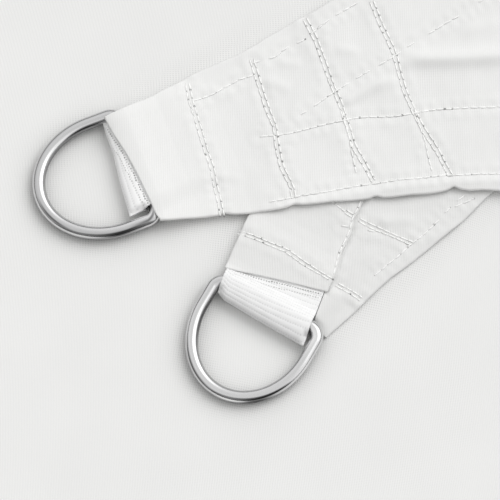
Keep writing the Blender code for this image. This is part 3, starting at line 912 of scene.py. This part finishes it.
# The folded heap, and the third corner that grows from its lowest layer.
stack = {
    "length": 466,
    "thick": 0.9,
    "topCell": 6.0,
    "hiddenCell": 12.0,
    "foldCells": 8,
    "cellsAcross": 40,
    "edgeShares": (0.003, 0.008, 0.016, 0.07),
    "intoLayerTwo": 0.04,    # how far the upper corners' cloth runs into the layer below
}
tongue = {"first": 0.70, "last": 0.94, "cells": 56, "step": 1.6, "end": 104, "settleStart": 70,
          "joinCells": 8, "joinLength": 12}
tongueShares = np.linspace(tongue["first"], tongue["last"], tongue["cells"] + 1)


def stackLines(across):
    halves = {}
    for side in (1, -1):
        half = []
        for layer in range(2, heap["layerCount"] + 1):
            if layer > 2:
                for turn in np.linspace(0, 1, stack["foldCells"] + 1):
                    half.append(foldPlace(layer - 1, side, turn, across))
            onTop = layer == 2 and side < 0
            cells = round(stack["length"] / (stack["topCell"] if onTop else stack["hiddenCell"]))
            shares = np.linspace(0, 1, cells + 1)[1:-1]
            if layer == 2:
                into = stack["intoLayerTwo"]
                shares = np.concatenate([[into], shares[shares > into + 0.01]])
            if layer == heap["layerCount"] and side < 0:
                outside = (shares < tongue["first"] - 0.01) | (shares > tongue["last"] + 0.01)
                shares = np.sort(np.concatenate([shares[outside], tongueShares]))
            half += [layerPlace(layer, side, along, across) for along in shares]
        halves[side] = half
    closedEnd = [foldPlace(heap["layerCount"], 1, turn, across) for turn in np.linspace(0, 1, 7)]
    return halves[1] + closedEnd + halves[-1][::-1]


clothC = {"end": -4.0, "level": 1.6, "lower": 0.3, "pinch": 0.81, "relief": 0.6, "panels": (0.15, 30, 31)}
clothC["rows"] = [
    {"threads": 2, "line": [(34, 34), (34, 0), (33, -35)]},
    {"threads": 2, "line": [(69, 42), (70, 0), (69, -42)]},
    {"threads": 1, "line": [(40, 27), (100, 39)]},
    {"threads": 1, "line": [(40, -27), (100, -39)]},
]


def topOfC(u, w):
    x, y = toPlan("c", u, w)
    height = plyHeight("c", u, w, clothC["level"]) - clothC["lower"]
    edge = smoothStep(0.8, 1.0, np.abs(w) / halfWidth(u)) * smoothStep(16, 30, u)
    height = height - clothC["pinch"] * edge
    height = height + ripples(u, w, clothC["panels"]) * smoothStep(16, 40, u) * (1 - edge)
    return x, y, height + clothC["relief"] * sewnRelief(u, w, clothC["rows"])


def tongueLines():
    sideways = np.linspace(-1, 1, tongue["cells"] + 1)
    lines, flatPlaces = [], []
    floorSheet = heap["cadThick"] / 2
    for u in np.arange(clothC["end"], tongue["end"], tongue["step"]):
        w = sideways * halfWidth(u)
        x, y, z = topOfC(u + 0 * w, w)
        settle = smoothStep(tongue["settleStart"], tongue["end"], u)
        lines.append((x, y, mix(z - stack["thick"] / 2, floorSheet, settle)))
        flatPlaces.append(np.stack([u + 0 * w, w], axis=-1))
    lastX, lastY, lastZ = lines[-1]
    edge = [layerPlace(heap["layerCount"], -1, along, np.array([1.0])) for along in tongueShares]
    edgeX, edgeY = [np.array([float(place[axis][0]) for place in edge]) for axis in (0, 1)]
    for share in np.linspace(0, 1, tongue["joinCells"] + 1)[1:]:
        lines.append((mix(lastX, edgeX, share), mix(lastY, edgeY, share), lastZ * 0 + floorSheet))
        flatU = tongue["end"] + tongue["joinLength"] * share + 0 * lastX
        flatPlaces.append(np.stack([flatU, flatPlaces[-1][:, 1]], axis=-1))
    return lines, flatPlaces


# how far out from the rings and edges the weave's gaps are painted with shade
weaveShadeSpread = {"edgeRun": (8.0, 220, 4), "lowerCount": 40, "bowRun": (90, 271, 5), "reach": 9}


def nearEdges(places):    # 1 beside the rings and the edges of the corners, where the weave's gaps are painted with shade
    u = np.arange(*weaveShadeSpread["edgeRun"])
    lowerU = u[:weaveShadeSpread["lowerCount"]]
    lines = [settled(*topOfA(u, side * halfWidth(u))) for side in (-1, 1)]
    lines += [settled(*topOfLowerB(lowerU, side * halfWidth(lowerU))) for side in (-1, 1)]
    around = np.radians(np.arange(*weaveShadeSpread["bowRun"]))
    for name in ("a", "b"):
        x = ring["bowLength"] * (1 + np.cos(around)) - ring["depth"]
        lines.append(ringToWorld(name, x, ring["halfWidth"] * np.sin(around), 0 * x))
    edges = np.concatenate(lines)[:, :2]
    return bell(np.linalg.norm(places[:, :, None, :2] - edges, axis=-1).min(axis=-1), weaveShadeSpread["reach"])


def buildStack(material):
    inner = np.linspace(0, 1, stack["cellsAcross"] + 1)
    byEdges = stack["edgeShares"]
    across = np.unique(np.concatenate([inner, byEdges, [1 - share for share in byEdges]]))
    places = np.stack([settled(*line) for line in stackLines(across)])
    flatPlaces = np.stack([lengthsAlong(places), places[:, :, 1]], axis=-1)
    folded = gridMesh("folded strip", places, flatPlaces, near=nearEdges(places))
    lines, flatPlaces = tongueLines()
    places = np.stack([settled(*line) for line in lines])
    third = gridMesh("third corner", places, np.stack(flatPlaces), near=0 * places[:, :, 0])
    mesh = weldMeshes("folded_cloth", [folded, third], 0.02)
    piece = addPiece("folded_cloth", mesh, material)
    thicken(piece, stack["thick"], offset=0.0)
    return piece


# Webbing: a flat band that goes in beside itself, round the bar of the ring.
webbing = {
    "width": 49.2,
    "thick": 1.2,
    "legGap": 0.3,
    "convergeRun": (1.0, 8.5),    # where the legs come together, in from the bar
    "end": 28.5,
    "slotMiddle": -1.95,    # of the two legs, from the bar's height
    "loopCells": 65,
    "ribPitch": 2.45,
    "ribFan": 0.15,    # extra ribs towards the left edge, as the loop lies askew
    "fanRun": (0, 14),
    "ribHeight": 0.12,
    "pitPitch": 1.35,
    "pitDepth": 0.18,
    "fuzz": (0.05, 7, 42),
    "cell": 0.33,
    "mouthGroove": (0.3, 0.4, 0.7),    # depth, how far from the end of the cloth, and width
    "mouthShadow": 3.2,
    "sidePinch": (3.2, 0.8),    # the loop's open sides are pressed together past the bar
    "pinchRun": (3.2, 6.4),
    "pitRows": (1.55, 3.9),    # how far from the end of the cloth the rows of deep pits run, whose shade is painted as dark beads
    "pitRadii": (0.38, 0.34),
}
ring = {"wire": 6.4, "halfWidth": 28.8, "depth": 50.5, "bowLength": 34.5, "corner": 6.0, "barHeight": 4.7,
        "farHeight": 3.2, "cellsRound": 72, "cellsBow": 110, "cellsCorner": 16, "cellsBar": 20}
plyEnds = {    # where the upper cloth ends over the webbing, across the ring and in from its bar
    "a": [(-31, -0.3), (-22, -1.6), (-14, -2.3), (-3.5, -2.9), (7.4, -4.0), (19.7, -6.1), (26, -6.9)],
    "b": [(-21, 19.3), (28.1, 5.9)],
    "c": [(-25, -4), (25, -4)],
}


def ringToWorld(name, x, y, z):
    corner = corners[name]
    base = groundOf(name) + (heap["restGap"] if name != "c" else 0) + ring["barHeight"]
    x, y = turned(x, y, corner["ringHeading"])
    return np.stack([corner["x"] + x, corner["y"] + y, base + z], axis=-1)


# Middle line of the webbing for one place across it: lower leg, round the bar, upper leg.
def webbingPath(loopReach, fineEnd, pinch):
    clear = ring["wire"] / 2 + heap["restGap"] + webbing["thick"] / 2
    legOffset = (webbing["legGap"] + webbing["thick"]) / 2
    reach = loopReach - webbing["thick"] / 2
    start, end = webbing["convergeRun"]
    hidden = np.linspace(webbing["end"], end, 12)[:-1]
    fine = np.linspace(end, start, 26)
    loop = np.linspace(0, math.pi, webbing["loopCells"] + 1)[1:-1]
    upper = np.arange(end + webbing["cell"], fineEnd, webbing["cell"])

    def legHeight(u, sign):
        return mix(sign * clear, webbing["slotMiddle"] + sign * legOffset, smoothStep(start, end, u))

    lowerU = np.concatenate([hidden, fine])
    upperU = np.concatenate([fine[::-1], upper, np.linspace(fineEnd, webbing["end"], 8)])
    loopU = -reach * np.sin(loop) ** pinch + start * np.cos(loop) ** 2
    loopZ = -clear * np.sign(np.cos(loop)) * np.abs(np.cos(loop)) ** pinch
    return (np.concatenate([lowerU, loopU, upperU]),
            np.concatenate([legHeight(lowerU, -1), loopZ, legHeight(upperU, 1)]))


def buildWebbing(name, material):
    halfWide = webbing["width"] / 2
    lie = webbingLie[name]
    columns, flatPlaces, plyShadowMarks = [], [], []
    mouthPits = [[] for _ in webbing["pitRows"]]
    for place in np.linspace(-halfWide, halfWide, 1 + round(webbing["width"] / webbing["cell"])):
        u, z = webbingPath(fromTable(place, lie["reach"]), lie["fineEnd"], lie["pinch"])
        pinchWidth, pinchShare = webbing["sidePinch"]
        sideEdge = smoothStep(halfWide - pinchWidth, halfWide, abs(place))
        z = z * (1 - pinchShare * sideEdge * smoothStep(*webbing["pinchRun"], -u))
        v = place + webbingAside(name, u)
        along = lengthsAlong(np.stack([u, z], axis=-1))
        along = along - along[np.argmin(u)]
        along = along + webbing["ribFan"] * place * smoothStep(*webbing["fanRun"], along)
        rib = np.abs(np.cos(math.pi * along / webbing["ribPitch"])) ** 0.7
        pits = bell(np.sin(math.pi * place / webbing["pitPitch"]), 0.55)
        relief = webbing["ribHeight"] * (rib - 0.6) - webbing["pitDepth"] * pits * (1 - rib) ** 2
        relief = relief * (1 - smoothStep(0.97, 1.0, abs(place) / halfWide))
        relief = relief + ripples(along, place + 0 * along, webbing["fuzz"])
        onTop = smoothStep(0, 2, along)
        fromPly = fromTable(v, plyEnds[name]) - u
        grooveDepth, grooveAt, grooveWidth = webbing["mouthGroove"]
        relief = relief - grooveDepth * onTop * bell(fromPly - grooveAt, grooveWidth)
        # the painted shadow of the upper cloth on the webbing, by the cloth's end
        plyShadowMarks.append(onTop * bell(np.maximum(fromPly, 0), webbing["mouthShadow"]))
        way = np.stack([np.gradient(u), np.gradient(z)], axis=-1)
        way = way / np.linalg.norm(way, axis=1)[:, None]
        columns.append(ringToWorld(name, u - way[:, 1] * relief, v, z + way[:, 0] * relief))
        for pitRow, apart in zip(mouthPits, webbing["pitRows"]):
            byPly = np.argmin(np.abs(fromPly - apart) + 100 * (along < 1))    # only on the upper leg
            pitRow.append(columns[-1][byPly] + np.array([0, 0, webbing["thick"] / 2]))
        flatPlaces.append(np.stack([along, place + 0 * along], axis=-1))
    mesh = gridMesh("webbing_loop_" + name, np.stack(columns, axis=1), np.stack(flatPlaces, axis=1),
                    mouth=np.stack(plyShadowMarks, axis=1))
    piece = addPiece("webbing_loop_" + name, mesh, material)
    thicken(piece, webbing["thick"], offset=0.0)
    return piece, [pitRow[3 + 2 * number:-3:4] for number, pitRow in enumerate(mouthPits)]


# Painted reflections, dark streaks and highlights, on the polished wire: place along it, half its length,
# turn round the wire in degrees (0 is the outer side, 90 the top), half its width, turn per millimetre, and
# strength (below 0 dark).
paintedRingReflections = {
    "a": [(21, 10, 138, 11, 0, -0.95), (80, 9, 60, 9, 0, -0.9), (111, 13, 36, 26, 0, -0.95),
          (118, 9, 58, 9, 0, -0.85), (131, 8, 85, 13, 6, -0.7), (50, 60, 56, 18, 0, -0.3),
          (75, 70, 168, 28, 0, -0.55), (34, 24, 165, 26, 0, -0.5), (47, 22, 120, 14, 0, 0.8),
          (101, 8, 37, 13, 0, 0.8), (131, 7, 160, 44, 0, 0.9), (85, 60, 98, 14, 0, 0.15)],
    "b": [(24, 19, 158, 28, 0, -0.8), (70, 70, 172, 22, 0, -0.35), (54, 15, 48, 14, 0, -0.75),
          (87, 9, 12, 36, 0, -0.95), (93, 13, 47, 11, 0, -0.95), (75, 50, 142, 12, 0, -0.3),
          (42, 28, 105, 14, 0, 0.7), (77, 6, 33, 13, 0, 0.8), (131, 9, 100, 18, 0, 0.7),
          (106, 20, 170, 18, 0, 0.5), (114, 9, 45, 18, 0, 0.6), (85, 60, 84, 16, 0, 0.35)],
    "c": [(60, 40, 50, 12, 0, -0.5), (80, 40, 110, 12, 0, 0.5)],
}


def paintedReflectionTones(name, reach, turn):    # painted reflections: middling on top and painted dark below, and then the bands
    tone = 0.5 * smoothStep(-0.25, 0.25, np.sin(turn)) + 0 * reach
    for place, halfLong, middle, halfWide, slope, strength in paintedRingReflections[name]:
        across = (np.degrees(turn) - middle - slope * (reach - place)) / halfWide
        shape = np.exp(-np.abs((reach - place) / halfLong) ** 3 - np.abs(across) ** 2.5)
        tone = tone + (0.5 * strength * shape if strength > 0 else tone * strength * shape)
    return np.clip(tone, 0, 1)


def arcPoints(middleX, middleY, reachX, reachY, start, end, cells):
    angles = [math.radians(mix(start, end, cell / cells)) for cell in range(cells + 1)]
    return [(middleX + reachX * math.cos(angle), middleY + reachY * math.sin(angle)) for angle in angles]


def buildRing(name, material):
    bend, cellsBar = ring["corner"], ring["cellsBar"]
    cornerY = ring["halfWidth"] - bend
    points = arcPoints(-bend, cornerY, bend, bend, 0, 90, ring["cellsCorner"])
    points += arcPoints(ring["bowLength"] - ring["depth"], 0, ring["bowLength"], ring["halfWidth"], 90, 270,
                        ring["cellsBow"])
    points += arcPoints(-bend, -cornerY, bend, bend, 270, 360, ring["cellsCorner"])
    points += [(0, mix(-cornerY, cornerY, cell / cellsBar)) for cell in range(1, cellsBar)]
    outline = np.array(points + points[:1])
    along = np.roll(outline[:-1], -1, axis=0) - np.roll(outline[:-1], 1, axis=0)
    along = np.concatenate([along, along[:1]])
    along /= np.linalg.norm(along, axis=1)[:, None]
    turn = np.linspace(-math.pi / 2, 1.5 * math.pi, ring["cellsRound"] + 1)[None, :]
    outward = ring["wire"] / 2 * np.cos(turn)
    x = outline[:, 0:1] + along[:, 1:2] * outward
    y = outline[:, 1:2] - along[:, 0:1] * outward
    z = ring["wire"] / 2 * np.sin(turn) + 0 * x
    tilt = math.degrees(math.asin((ring["barHeight"] - ring["farHeight"]) / ring["depth"]))
    x, z = turned(x, z, tilt)
    reach = lengthsAlong(outline)[:, None]
    flatPlaces = np.stack([reach + 0 * x, 3 * turn + 0 * x], axis=-1)
    # the tone carries the painted reflections and the painted dark underside
    skin = gridMesh("ring skin", ringToWorld(name, x, y, z), flatPlaces, tone=paintedReflectionTones(name, reach, turn))
    mesh = weldMeshes("steel_ring_" + name, [skin], 0.01)
    return addPiece("steel_ring_" + name, mesh, material)


# Stitches are flat little beads, and so are the dark ones painted as shadow in their holes and as shade in
# their grooves.
def addBead(shape, first, last, halfWide, halfHigh, lift, segments=8, rings=4):
    first, last = Vector(first * metres), Vector(last * metres)
    way = last - first
    turn = way.to_track_quat("X", "Z").to_matrix().to_4x4()
    size = Matrix.Diagonal((way.length / 2 + halfWide * metres, halfWide * metres, halfHigh * metres, 1))
    middle = (first + last) / 2 + Vector((0, 0, lift * metres))
    bmesh.ops.create_uvsphere(shape, u_segments=segments, v_segments=rings, radius=1,
                              matrix=Matrix.Translation(middle) @ turn @ size)


def addThread(shape, stitch):
    radius = stitchShape["threadRadius"]
    addBead(shape, stitch["first"], stitch["last"], radius, radius * 0.9, radius * 0.6, rings=6)


# a grey bead painted as the shade along a stitch's groove, showing beside the thread
def addGrooveShade(shape, stitch):
    if stitch["outline"]:
        halfWide = stitchShape["grooveShadeReach"] * stitch["outline"]
        addBead(shape, stitch["first"], stitch["last"], halfWide, 0.12, 0.0, segments=10)


# a dark bead painted as the shadow in a needle hole, just ahead of the stitch
def addHoleShadow(shape, stitch):
    if stitch["hole"]:
        way = stitch["last"] - stitch["first"]
        reach = way / np.linalg.norm(way) * stitch["hole"] * stitchShape["holeLength"]
        radius = stitchShape["holeRadius"] * stitch["hole"]
        addBead(shape, stitch["ahead"] - reach, stitch["ahead"] + reach, radius, 0.16, 0.03)


# Each batch has a mesh of its own at first, because adding to a big one is slow.
def inBatches(name, stitches, addOne, material):
    whole = bmesh.new()
    for start in range(0, len(stitches), 30):
        shape = bmesh.new()
        for stitch in stitches[start:start + 30]:
            addOne(shape, stitch)
        batch = meshFromShape("batch", shape)
        whole.from_mesh(batch)
        bpy.data.meshes.remove(batch)
    return addPiece(name, meshFromShape(name, whole), material)


# Beads painted dark as the shade in the webbing's pits, in rows by the end of the upper cloth.
def buildMouthPitShades(name, pitRows, radius, material):
    shape = bmesh.new()
    draw = np.random.default_rng(61)
    for pitRow in pitRows:
        for first, last in zip(pitRow[:-1], pitRow[1:]):
            reach = (last - first) * draw.uniform(0.03, 0.14)
            addBead(shape, first - reach, first + reach, radius * draw.uniform(0.8, 1.15), 0.22, 0.0)
    return addPiece(name, meshFromShape(name, shape), material)


def strandPlaces(row, strand, step, seed):    # places each step along one of a row's threads
    line = np.array(row["line"], float)
    reach = lengthsAlong(line)
    places = np.arange(0, reach[-1], step)
    points = np.stack([np.interp(places, reach, line[:, axis]) for axis in (0, 1)], axis=-1)
    way = np.gradient(points, axis=0)
    way /= np.linalg.norm(way, axis=1)[:, None]
    side = np.stack([-way[:, 1], way[:, 0]], axis=-1)
    offset = (strand - (row["threads"] - 1) / 2) * row.get("gap", stitchShape["threadGap"])
    amount, length = stitchShape["wander"]
    wander = amount * unevenness(np.arange(len(points)) * step, np.zeros(len(points)), length, seed + strand)
    return points + side * (offset + wander)[:, None]


# plain is how plainly a row's stitches show. Where it is low, more of a single row's are left out.
def sewRows(sewn, rows, top, seed, plainness=1.0, shown=None):
    draw = np.random.default_rng(seed)
    step = 0.5
    for row in rows:
        plain = row.get("plain", plainness)
        holeShare, grooveShadeShare = stitchShape["shares"][row["threads"]]
        for strand in range(row["threads"]):
            points = strandPlaces(row, strand, step, seed)
            place = draw.uniform(0, 0.8)
            while place < len(points) * step - 1.2:
                pitch = stitchShape["pitch"] * draw.uniform(0.82, 1.15)
                size = draw.uniform(0.5, 1.3)
                hole = size if draw.uniform() < holeShare * plain else 0
                outline = draw.uniform(0.6, 1.0) if draw.uniform() < grooveShadeShare * plain else 0
                first, last = [points[min(int(reach / step), len(points) - 1)]
                               for reach in (place, place + pitch * stitchShape["threadShare"])]
                place += pitch
                skipped = row["threads"] == 1 and draw.uniform() > plain + 0.35
                if skipped or (shown and not (shown(*first) and shown(*last))):
                    continue
                ends = np.array([first, last, last + (last - first) * 0.08])
                first, last, ahead = settled(*top(ends[:, 0], ends[:, 1]))
                sewn.append({"first": first, "last": last, "ahead": ahead, "hole": hole, "outline": outline})


edgeSeam = {"across": (0.066, 0.934), "alongRun": (0.08, 0.985), "sunk": 0.04, "ends": (0, 0.84, 0.94)}


def sewEdges(sewn, seed):    # along the hems of the heap's top layer
    draw = np.random.default_rng(seed)
    lift = heap["cadThick"] / 2 - edgeSeam["sunk"]
    for across in edgeSeam["across"]:
        along, end = edgeSeam["alongRun"]
        while along < end:
            span = stitchShape["pitch"] * draw.uniform(0.85, 1.15) / stack["length"]
            places = [along + span * share for share in edgeSeam["ends"]]
            first, last, ahead = [settled(*layerPlace(2, -1, place, np.array([across]), lift))[0]
                                  for place in places]
            hole = draw.uniform(0.7, 1.1) if draw.uniform() > 0.3 else 0
            sewn.append({"first": first, "last": last, "ahead": ahead, "hole": hole, "outline": 0.7})
            along += span


def sewAll():
    sewn = []

    def onHemB(u, w):
        return w > fromTable(u, hemB["innerEdge"]) and u > 0

    def onLowerB(u, w):
        return w < fromTable(u, hemB["innerEdge"])

    sewRows(sewn, clothA["rows"], topOfA, 51)
    sewRows(sewn, clothB["rows"], topOfHemB, 52, 0.4, onHemB)
    sewRows(sewn, clothB["rows"], topOfLowerB, 53, 0.4, onLowerB)
    sewRows(sewn, clothC["rows"], topOfC, 54)
    sewEdges(sewn, 55)
    return sewn


studio = {
    "floor": (0.80, 0.80, 0.79),
    "sky": [(0.0, 0.16), (0.09, 0.20), (0.22, 0.50), (0.40, 0.86), (0.62, 0.90), (0.85, 0.80), (1.0, 0.70)],
    "glow": 0.9,    # a wide soft light, seen in the rings
    "glowRun": (0.80, 0.99),
    "glowElevation": 42,
    "glowHeading": -6,
    "darkHeading": 235,    # the room is dark on the camera's side, from low down to halfway up
    "darkRun": (0.52, 0.70),
    "darkLevel": 0.30,
    "sunStrength": 0.90,
    "sunAngle": 46,
    "sunElevation": 48,
    "sunHeading": 12,    # degrees from +X, of where the light comes from
}
view = {"elevation": 71.8, "heading": 55.0, "distance": 6.0, "width": 0.2445, "height": 0.0265, "sensor": 36}


def direction(heading, elevation):
    heading, up = math.radians(heading), math.radians(elevation)
    return Vector((math.cos(heading) * math.cos(up), math.sin(heading) * math.cos(up), math.sin(up)))


def addToScene(name, data):
    item = bpy.data.objects.new(name, data)
    bpy.context.scene.collection.objects.link(item)
    return item


def buildStage():
    shape = bmesh.new()
    bmesh.ops.create_grid(shape, x_segments=8, y_segments=8, size=6)
    floor = addToScene("studio_floor", meshFromShape("studio_floor", shape))
    floor.data.materials.append(newMaterial("pale floor", studio["floor"], 0.85)[0])


def facing(tree, place, towards, run, first, last):    # from first to last, as a place faces more that way
    dot = addNode(tree, "VectorMath", {0: place, 1: towards}, operation="DOT_PRODUCT").outputs["Value"]
    inputs = {"Value": dot, "From Min": run[0], "From Max": run[1], "To Min": first, "To Max": last}
    return addNode(tree, "MapRange", inputs, interpolation_type="SMOOTHSTEP").outputs["Result"]


def lightScene():
    world = bpy.data.worlds.new("studio")
    bpy.context.scene.world = world
    world.use_nodes = True
    tree = world.node_tree
    place = addNode(tree, "TexCoord", {}).outputs["Generated"]
    height = addNode(tree, "SeparateXYZ", {0: place}).outputs["Z"]
    sky = colourRamp(tree, height, [(stop, (level, level, level * 0.995)) for stop, level in studio["sky"]])
    darkAt = direction(studio["darkHeading"], 0)
    dimming = facing(tree, place, darkAt, studio["darkRun"], 1.0, studio["darkLevel"])
    sky = addNode(tree, "VectorMath", {0: sky, "Scale": dimming}, operation="SCALE").outputs["Vector"]
    glowAt = direction(studio["glowHeading"], studio["glowElevation"])
    glow = facing(tree, place, glowAt, studio["glowRun"], 0.0, studio["glow"])
    both = addNode(tree, "VectorMath", {0: sky, 1: glow}, operation="ADD").outputs["Vector"]
    setInputs(tree, tree.nodes["Background"], {"Color": both})
    light = bpy.data.lights.new("soft sun", "SUN")
    light.energy = studio["sunStrength"]
    light.angle = math.radians(studio["sunAngle"])
    sun = addToScene("soft sun", light)
    sun.visible_glossy = False
    source = direction(studio["sunHeading"], studio["sunElevation"])
    sun.rotation_euler = source.to_track_quat("Z", "Y").to_euler()
    bpy.context.scene.view_settings.view_transform = "Standard"


def placeCamera():
    camera = bpy.data.cameras.new("photo view")
    camera.sensor_width = view["sensor"]
    camera.lens = view["sensor"] * view["distance"] / view["width"]
    camera.clip_end = 50
    item = addToScene("photo view", camera)
    away = direction(view["heading"] + 180, view["elevation"])
    item.location = Vector((0, 0, view["height"])) + away * view["distance"]
    item.rotation_euler = away.to_track_quat("Z", "Y").to_euler()
    bpy.context.scene.camera = item


buildStage()
lightScene()
placeCamera()
print("studio ready")

clothOnHeap = clothMaterial("sail cloth, heap", 35.0, clothFinish["ribPitch"])
clothOnA = clothMaterial("sail cloth, upper corner", 16.6, 1.08)
# the lower corner's cloth is painted a little darker, as shade
shadedClothOnB = clothMaterial("sail cloth, lower corner, painted darker", 53.8, 1.15, 0.94)
webbingWhite = webbingMaterial("white webbing", webbingFinish["colour"], webbingFinish["valleyShadeStrength"])
# a copy of the webbing painted lighter, as light, for the upper corner
litWebbingOnA = webbingMaterial("white webbing, upper corner, painted lighter", webbingFinish["litColourOnA"],
                             webbingFinish["shadeStrengthOnA"])
steel = steelMaterial()
thread = threadMaterial()
# dark beads painted as the shadow in the needle holes
needleHoleShadow = paintedShadeMaterial("needle hole, painted shadow", (0.16, 0.16, 0.16), (0.5, 0.5, 0.49))
# dark beads painted as the shade in the webbing's pits
webbingPitShade = paintedShadeMaterial("webbing pit, painted shade", (0.34, 0.34, 0.34), (0.6, 0.6, 0.59))
# grey beads painted as the shade along the stitches' grooves and in the webbing's shallower pits
stitchGrooveShade = paintedShadeMaterial("stitch groove, painted shade", (0.52, 0.52, 0.51), (0.76, 0.76, 0.75))
print("materials ready")

foldedCloth = buildStack(clothOnHeap)
print("folded heap:", len(foldedCloth.data.polygons), "faces")
cornerClothA = buildClothA(clothOnA)
cornerClothB = buildLowerB(shadedClothOnB)
hemClothB = buildHemB(shadedClothOnB)
underPlies = [buildUnderPly(name, clothOnA) for name in corners]
print("corners:", [len(piece.data.polygons) for piece in (cornerClothA, cornerClothB, hemClothB)], "faces")

webbingLoops = {}
pitRows = {}
for name in corners:
    webbingLoops[name], pitRows[name] = buildWebbing(name, litWebbingOnA if name == "a" else webbingWhite)
steelRings = {name: buildRing(name, steel) for name in corners}
print("webbing and rings ready")

sewn = sewAll()
pitPlaces, dimplePlaces = zip(pitRows["a"], pitRows["b"])
pitRadius, dimpleRadius = webbing["pitRadii"]
sewnPieces = [inBatches("stitches", sewn, addThread, thread),
              inBatches("needle_hole_shadows", sewn, addHoleShadow, needleHoleShadow),
              inBatches("stitch_groove_shades", sewn, addGrooveShade, stitchGrooveShade),
              buildMouthPitShades("webbing_pit_shades", pitPlaces, pitRadius, webbingPitShade),
              buildMouthPitShades("webbing_dimple_shades", dimplePlaces, dimpleRadius, stitchGrooveShade)]
print("stitches:", [len(piece.data.polygons) for piece in sewnPieces], "faces")

clothPieces = [foldedCloth, cornerClothA, cornerClothB, hemClothB, *underPlies]
for piece in [*clothPieces, *webbingLoops.values(), *steelRings.values(), *sewnPieces]:
    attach(piece, "root")
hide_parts("sail_cloth")
for name in corners:
    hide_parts("webbing_" + name)
    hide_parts("d_ring_" + name)
